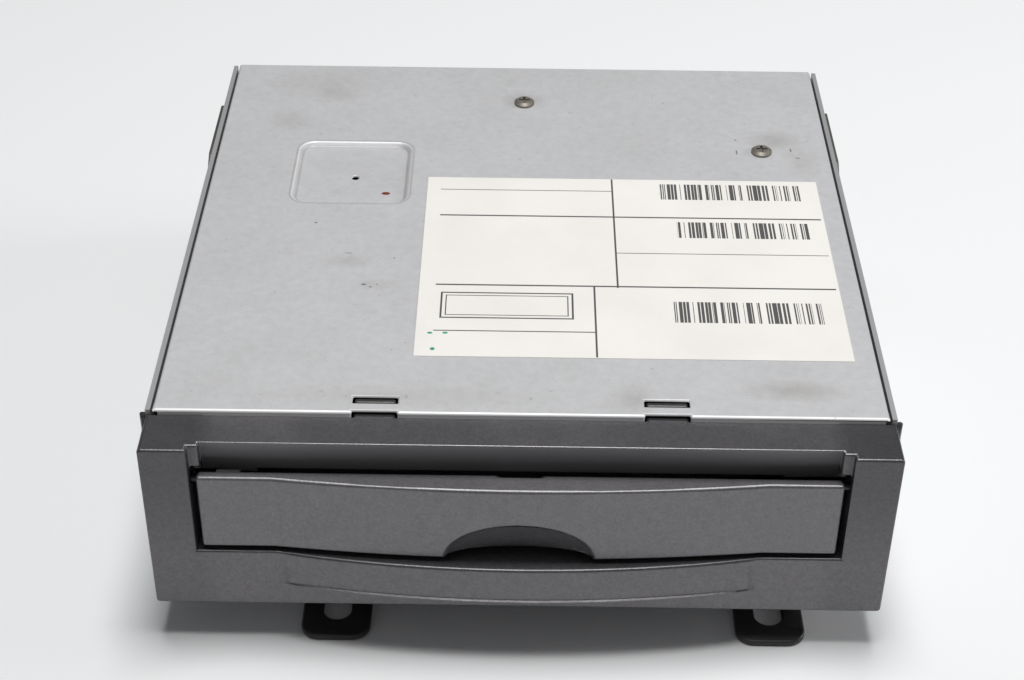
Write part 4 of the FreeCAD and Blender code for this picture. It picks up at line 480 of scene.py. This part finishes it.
# Loader frame, traverse plate, clamp arm and their posts: pressed sheet, zinc plated after
# pressing, a little warmer and shinier than the case.
plated, *_ = finish("plated_sheet", sheet_group, (0.56, 0.55, 0.52), (0.42, 0.41, 0.38),
                    (0.34, 0.52), 0.85)
coat(plated, "loader_frame", "traverse_plate", "clamp_arm", "hinge_brackets", "frame_standoffs",
     "cover_posts")
can, *_ = finish("motor_can", sheet_group, (0.62, 0.61, 0.59), (0.5, 0.49, 0.46), (0.24, 0.4), 1.0)
coat(can, "feed_motor", "sled_motor", "spindle_motor", "tuner_shield")

# Shafts, rods, pins and studs: steel bar, turned and ground, with an oil film. The springs are
# drawn wire, darkened by their tempering; the flap's pins share their near-black as painted
# shade, sinking into the shade of the gaps at the flap's ends.
ground, *_ = finish("ground_steel", sheet_group, (0.64, 0.64, 0.65), (0.5, 0.5, 0.51),
                    (0.16, 0.3), 1.0, 0.05)
coat(ground, "roller_shaft", "guide_rods", "lead_screw", "spindle_shaft", "motor_shaft",
     "idler_stud", "lever_studs", "clamp_hinge_pin")
blued_and_shade, *_ = finish("tempered_wire_and_shade", sheet_group, (0.07, 0.065, 0.065), (0.03, 0.03, 0.03),
                   (0.35, 0.5), 0.9)
# Painted shade: the flap's pins take this near-black to sink into the shade at the flap's ends.
coat(blued_and_shade, "flap_pins", "flap_spring", "clamp_spring")

# Feed gears, bushes, levers and the data socket: natural acetal, waxy and slightly cream. The
# motor's pinion is cut brass.
plastic_group, source, sink = group_of("moulded_grain", FINISH_INPUTS, FINISH_OUTPUTS)
grain = noise_in(plastic_group, source.outputs["Vector"], 2600, 2)
haze = span_in(plastic_group, noise_in(plastic_group, source.outputs["Vector"], 22, 5, 0.6),
               0.45, 0.8)
specks = plastic_group.nodes.new("ShaderNodeTexVoronoi")
specks.inputs["Scale"].default_value = 210
plastic_group.links.new(source.outputs["Vector"], specks.inputs["Vector"])
sparse = span_in(plastic_group, noise_in(plastic_group, source.outputs["Vector"], 60, 2),
                 0.58, 0.64)
dust = math_in(plastic_group, "MULTIPLY",
               span_in(plastic_group, specks.outputs["Distance"], 0.075, 0.045), sparse)
dusting = math_in(plastic_group, "ADD", math_in(plastic_group, "MULTIPLY", haze, 0.28),
                  math_in(plastic_group, "MULTIPLY", dust, 0.5))
dusting = math_in(plastic_group, "ADD", dusting, math_in(plastic_group, "MULTIPLY", grain, 0.14))
plastic_group.links.new(colour_mix_in(plastic_group, dusting, source.outputs["Clean"],
                                      source.outputs["Worn"]), sink.inputs["Color"])
plastic_group.links.new(span_in(plastic_group, haze, 0.0, 1.0, source.outputs["Smooth"],
                                source.outputs["Rough"]), sink.inputs["Roughness"])
plastic_group.links.new(grain, sink.inputs["Height"])

acetal, *_ = finish("natural_acetal", plastic_group, (0.72, 0.71, 0.66), (0.6, 0.59, 0.55),
                    (0.35, 0.5))
coat(acetal, "roller_gear", "idler_gear", "roller_bushes", "left_lever", "right_lever",
     "data_socket")
brass, *_ = finish("cut_brass", sheet_group, (0.7, 0.5, 0.2), (0.5, 0.36, 0.15), (0.22, 0.4), 1.0)
coat(brass, "motor_pinion")

# Feed rollers and dampers: soft black rubber, with the pale bloom that such rubber gets. Its
# grain stands out more than that of the plastics.
rubber, *_ = finish("soft_rubber", plastic_group, (0.022, 0.022, 0.023), (0.09, 0.09, 0.092),
                    (0.72, 0.9), 0.0, 0.4)
coat(rubber, "feed_rollers", "dampers")

# Dust felts: black pressed felt behind the slot, a mat of short fibres that lie both ways.
# It wipes the disc as it passes.
felt, nodes, links, shader, where = new_material("pressed_felt")
tree = felt.node_tree
fibres = math_in(tree, "ADD",
                 noise_in(tree, stretched_in(tree, where, (1, 1, 7)), 900, 4, 0.7),
                 noise_in(tree, stretched_in(tree, where, (0.2, 1, 1)), 2200, 3, 0.7))
tufts = span_in(tree, fibres, 0.75, 1.25)
links.new(colour_mix_in(tree, tufts, (0.012, 0.012, 0.013, 1), (0.055, 0.055, 0.06, 1)),
          shader.inputs["Base Color"])
links.new(span_in(tree, tufts, 0, 1, 0.85, 1.0), shader.inputs["Roughness"])
shader.inputs["Sheen Weight"].default_value = 0.3
bump_from(nodes, links, fibres, shader, 0.8, 0.0004)
coat(felt, "dust_felts")

# Disc guide, turntable, disc clamp, sled, rod holders, switch and power socket: black
# glass-filled plastic with a satin face. The lens carrier is glossier, and the lens is coated.
black, *_ = finish("black_plastic", plastic_group, (0.025, 0.025, 0.026), (0.06, 0.06, 0.06),
                   (0.4, 0.58))
coat(black, "disc_guide", "disc_clamp", "turntable", "pickup_sled", "rod_holders",
     "eject_switch", "power_socket")
gloss, *_ = finish("lens_carrier_plastic", plastic_group, (0.018, 0.018, 0.02),
                   (0.05, 0.05, 0.055), (0.15, 0.3), 0.0, 0.05)
coat(gloss, "lens_carrier")
lens, tree, shader, *_ = finish("coated_lens", plastic_group, (0.62, 0.7, 0.92),
                                (0.5, 0.62, 0.85), (0.02, 0.06), 0.0, 0.0)
shader.inputs["Transmission Weight"].default_value = 0.85
shader.inputs["IOR"].default_value = 1.52
coat(lens, "objective_lens")

# Main board and button board: fibreglass with green solder mask over copper tracks. The chips
# on them are moulded epoxy; the capacitors' cans and the antenna socket are bright metal.
board, tree, shader, placed, where = finish("solder_mask", plastic_group, (0.018, 0.12, 0.05),
                                            (0.03, 0.16, 0.075), (0.22, 0.36), 0.0, 0.1)
tracks = tree.nodes.new("ShaderNodeTexBrick")
tracks.inputs["Scale"].default_value = 260
tracks.inputs["Mortar Size"].default_value = 0.05
tree.links.new(where, tracks.inputs["Vector"])
routed = math_in(tree, "MULTIPLY", tracks.outputs["Fac"],
                 span_in(tree, noise_in(tree, where, 45, 2), 0.48, 0.56))
tree.links.new(colour_mix_in(tree, routed, placed.outputs["Color"], (0.07, 0.3, 0.12, 1)),
               shader.inputs["Base Color"])
coat(board, "main_board", "button_board")
epoxy, *_ = finish("chip_epoxy", plastic_group, (0.02, 0.02, 0.021), (0.045, 0.045, 0.045),
                   (0.5, 0.68), 0.0, 0.3)
coat(epoxy, "processor", "memory_chips")
nickel, *_ = finish("nickel_plate", sheet_group, (0.70, 0.68, 0.62), (0.55, 0.53, 0.48),
                    (0.14, 0.3), 1.0, 0.05)
coat(nickel, "capacitors", "antenna_socket")

# Front moulding: grey plastic, sprayed in front with paint that has fine metal flakes in it.
# Painted light makes the flap's recess a lighter, unmetallic grey; painted shade makes the rear
# and its hooks near-black and darkens the pillars towards their top. Its lip is set back, to lie
# inside the band of the next section.
# The bounds of the painted light in the flap's recess.
RECESS_LIGHT_BACK = 3.4
RECESS_LIGHT_HALF = 75.3
RECESS_LIGHT_HIGH = 59.3
PILLARS_X = (72, 77)
PILLARS_Z = (26, 50)
PILLARS_SHADE = (0.15, 0.45)
MOULDING_DEPTH = 13.6
LIP_KEPT = 0.85
FLAKE_METAL = 0.75

paint_group, source, sink = group_of("flake_paint", FINISH_INPUTS, FINISH_OUTPUTS)
flakes = noise_in(paint_group, source.outputs["Vector"], 1500, 3, 0.7)
mottle = noise_in(paint_group, source.outputs["Vector"], 520, 3, 0.6)
rubbed = span_in(paint_group, noise_in(paint_group, source.outputs["Vector"], 24, 5, 0.65),
                 0.5, 0.85)
specks = paint_group.nodes.new("ShaderNodeTexVoronoi")
specks.inputs["Scale"].default_value = 190
paint_group.links.new(source.outputs["Vector"], specks.inputs["Vector"])
dust = math_in(paint_group, "MULTIPLY",
               span_in(paint_group, specks.outputs["Distance"], 0.07, 0.05),
               span_in(paint_group, noise_in(paint_group, source.outputs["Vector"], 55, 2),
                       0.57, 0.63))
tone = math_in(paint_group, "ADD", span_in(paint_group, flakes, 0.3, 0.7, 0.0, 0.65),
               span_in(paint_group, mottle, 0.3, 0.7, 0.0, 0.3))
tone = math_in(paint_group, "ADD", tone, math_in(paint_group, "MULTIPLY", rubbed, 0.25))
tone = math_in(paint_group, "ADD", tone, math_in(paint_group, "MULTIPLY", dust, 1.2))
paint_group.links.new(colour_mix_in(paint_group, tone, source.outputs["Clean"],
                                    source.outputs["Worn"]), sink.inputs["Color"])
paint_group.links.new(span_in(paint_group, rubbed, 0.0, 1.0, source.outputs["Smooth"],
                              source.outputs["Rough"]), sink.inputs["Roughness"])
paint_group.links.new(flakes, sink.inputs["Height"])

bezel_grey, tree, shader, placed, where = finish(
    "bezel_grey", paint_group, (0.122, 0.118, 0.125), (0.195, 0.188, 0.198), (0.36, 0.48),
    FLAKE_METAL, 0.25)
across, along, up = axes_in(tree, where)
aside = math_in(tree, "ABSOLUTE", across)
# Painted light: inside the flap's recess the colour turns to a lighter, unmetallic grey.
behind = math_in(tree, "GREATER_THAN", along, (FRONT + RECESS_LIGHT_BACK) * MM)
between = math_in(tree, "LESS_THAN", aside, RECESS_LIGHT_HALF * MM)
below = math_in(tree, "LESS_THAN", up, RECESS_LIGHT_HIGH * MM)
recess_painted_light = math_in(tree, "MULTIPLY", math_in(tree, "MULTIPLY", behind, between), below)
# Painted shade: behind its rear face, hooks included, the moulding is near-black and unmetallic.
rear_painted_shade = math_in(tree, "GREATER_THAN", along, (FRONT + MOULDING_DEPTH) * MM)
# Painted shade: the pillars darken towards their top.
pillar_painted_shade = math_in(tree, "MULTIPLY", span_in(tree, aside, PILLARS_X[0] * MM, PILLARS_X[1] * MM),
                  span_in(tree, up, PILLARS_Z[0] * MM, PILLARS_Z[1] * MM, *PILLARS_SHADE))
colour = colour_mix_in(tree, pillar_painted_shade, placed.outputs["Color"], (0.05, 0.048, 0.052, 1))
# Painted light in the flap's recess.
colour = colour_mix_in(tree, recess_painted_light, colour, (0.28, 0.273, 0.285, 1))
# Painted shade on the rear and hooks.
tree.links.new(colour_mix_in(tree, rear_painted_shade, colour, (0.03, 0.029, 0.029, 1)),
               shader.inputs["Base Color"])
tree.links.new(span_in(tree, math_in(tree, "MAXIMUM", recess_painted_light, rear_painted_shade), 0.0, 1.0, FLAKE_METAL, 0.0),
               shader.inputs["Metallic"])
bezel = softened_copy("front_bezel", "bezel_shell", 0.00055, "casing", bezel_grey,
                      3)
places = np.empty(len(bezel.data.vertices) * 3)
bezel.data.vertices.foreach_get("co", places)
depths = places[1::3] - FRONT * MM
places[1::3] = FRONT * MM + np.where(depths < 0, depths * LIP_KEPT, depths)
bezel.data.vertices.foreach_set("co", places)

# Lip band: the moulding's bowed lower lip, an upright band of even height. It ends below in a
# thin raised bead, and its underside slopes back to the face of the moulding.
BAND_HALF = 58.5
BAND_BOW = 5.45
BAND_TOP_Z = 28.22
BAND_FOOT_Z = 18.05
BAND_RADIUS = 0.8
BAND_PROUD = 0.12
BAND_ENDS_BACK = 0.1
BAND_SUNK = 0.9
FOOT_BELOW_BEAD = 0.3
CREASE_SUNK_SHARE = 0.1
BEAD_OUT = (0.0, 0.44, 0.5, 0.5, 0.42, 0.2, -0.15)
BEAD_UP = (0.55, 0.32, 0.15, 0.0, -0.1, -0.16, -0.18)
CREASE_RISE = 6.2
CREASE_MIDDLE_Z = 12.2


def arc_rise(x, half, rise):
    """Height of a circular arc over its chord: rise - radius + sqrt(radius^2 - x^2)."""
    radius = (half * half + rise * rise) / (2 * rise)
    return rise - radius + np.sqrt(radius * radius - x * x)


def swept_mesh(name, rings):
    """A closed skin over rings of points (rings, points, 3), with a flat face at each end."""
    index = np.arange(rings.shape[0] * rings.shape[1]).reshape(rings.shape[:2])
    ahead = np.roll(index, -1, axis=1)
    sides = np.stack([index[:-1], ahead[:-1], ahead[1:], index[1:]], axis=-1)
    mesh = bpy.data.meshes.new(name)
    mesh.from_pydata(rings.reshape(-1, 3).tolist(), [],
                     sides.reshape(-1, 4).tolist() + [index[0, ::-1].tolist(), index[-1].tolist()])
    return mesh


def lip_band(columns=141):
    """The band's profile carried along its bow.

    The face stands at the arc's depth. Its top edge is a quarter circle, its foot a bead that
    fades with 1 - u^16 towards the ends, and the underside runs to the crease's own arc."""
    x = np.linspace(-BAND_HALF, BAND_HALF, columns)[:, None]
    fade = 1 - (x / BAND_HALF) ** 16
    face = arc_rise(x, BAND_HALF, BAND_BOW) + BAND_PROUD * fade - BAND_ENDS_BACK * (1 - fade)
    turn = np.radians(np.linspace(90, 0, 6))[None, :]
    edge_out = face - BAND_RADIUS * (1 - np.cos(turn))
    edge_up = BAND_TOP_Z - BAND_RADIUS * (1 - np.sin(turn)) + 0 * face
    bead_out = face + np.array([BEAD_OUT]) * fade
    bead_up = BAND_FOOT_Z + np.array([BEAD_UP]) + 0 * face
    sunk = np.full_like(face, -BAND_SUNK)
    foot = np.minimum(CREASE_MIDDLE_Z + CREASE_RISE - arc_rise(x, BAND_HALF, CREASE_RISE),
                      BAND_FOOT_Z - FOOT_BELOW_BEAD)
    out = np.hstack([sunk, edge_out, bead_out, sunk * CREASE_SUNK_SHARE, sunk])
    up = np.hstack([np.full_like(face, BAND_TOP_Z), edge_up, bead_up, foot, foot])
    return swept_mesh("lip_band", np.stack([x + 0 * out, FRONT - out, up], axis=-1) * MM)


band = place("lip_band", lip_band())
band.data.shade_smooth()
band.data.set_sharp_from_angle(angle=math.radians(40))
band.data.materials.append(bezel_grey)
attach(band, "casing")

# Drop flap: the same paint a little duller, and a shade lighter as painted light for the stronger
# light on its face. It is bowed to the front, with the scoop for a finger.
flap_grey_painted_light, *_ = finish("flap_grey_painted_light", paint_group, (0.15, 0.145, 0.153), (0.23, 0.223, 0.234),
                       (0.42, 0.54), FLAKE_METAL, 0.25)
softened_copy("front_flap", "flap_shell", 0.0007, "flap", flap_grey_painted_light, 3, 50)

# Eject button: a small moulded cap in the front's grey, behind the flap. It is seen only when
# the flap is up.
softened_copy("eject_button", "button_shell", 0.0003, "eject", bezel_grey)

# Mounting bracket: pressed steel in satin black paint. Its wings, on which dust settles, are
# browner and duller than its straps.
WING_SIDE = (88.6, 89.2)
bracket_black, tree, shader, placed, where = finish(
    "bracket_black", plastic_group, (0.018, 0.0175, 0.02), (0.1, 0.09, 0.08), (0.36, 0.55),
    0.0, 0.15)
across, along, up = axes_in(tree, where)
aside = span_in(tree, math_in(tree, "ABSOLUTE", across), WING_SIDE[0] * MM, WING_SIDE[1] * MM)
settled = math_in(tree, "MULTIPLY", aside, span_in(tree, noise_in(tree, where, 60, 5), 0.3, 0.8,
                                                   0.45, 0.9))
tree.links.new(colour_mix_in(tree, settled, placed.outputs["Color"], (0.11, 0.1, 0.088, 1)),
               shader.inputs["Base Color"])
softened_copy("mounting_bracket", "bracket_shell", 0.0004, "casing",
              bracket_black)

# Screws: zinc plated and slightly yellowed, dull from handling. All the fixing screws share
# this finish.
screw_zinc, *_ = finish("screw_zinc", sheet_group, (0.27, 0.25, 0.215), (0.15, 0.135, 0.115),
                        (0.45, 0.65), 0.6)
coat(screw_zinc, "cover_screws", "wing_screws", "bracket_screws", "board_screws", "frame_screws")
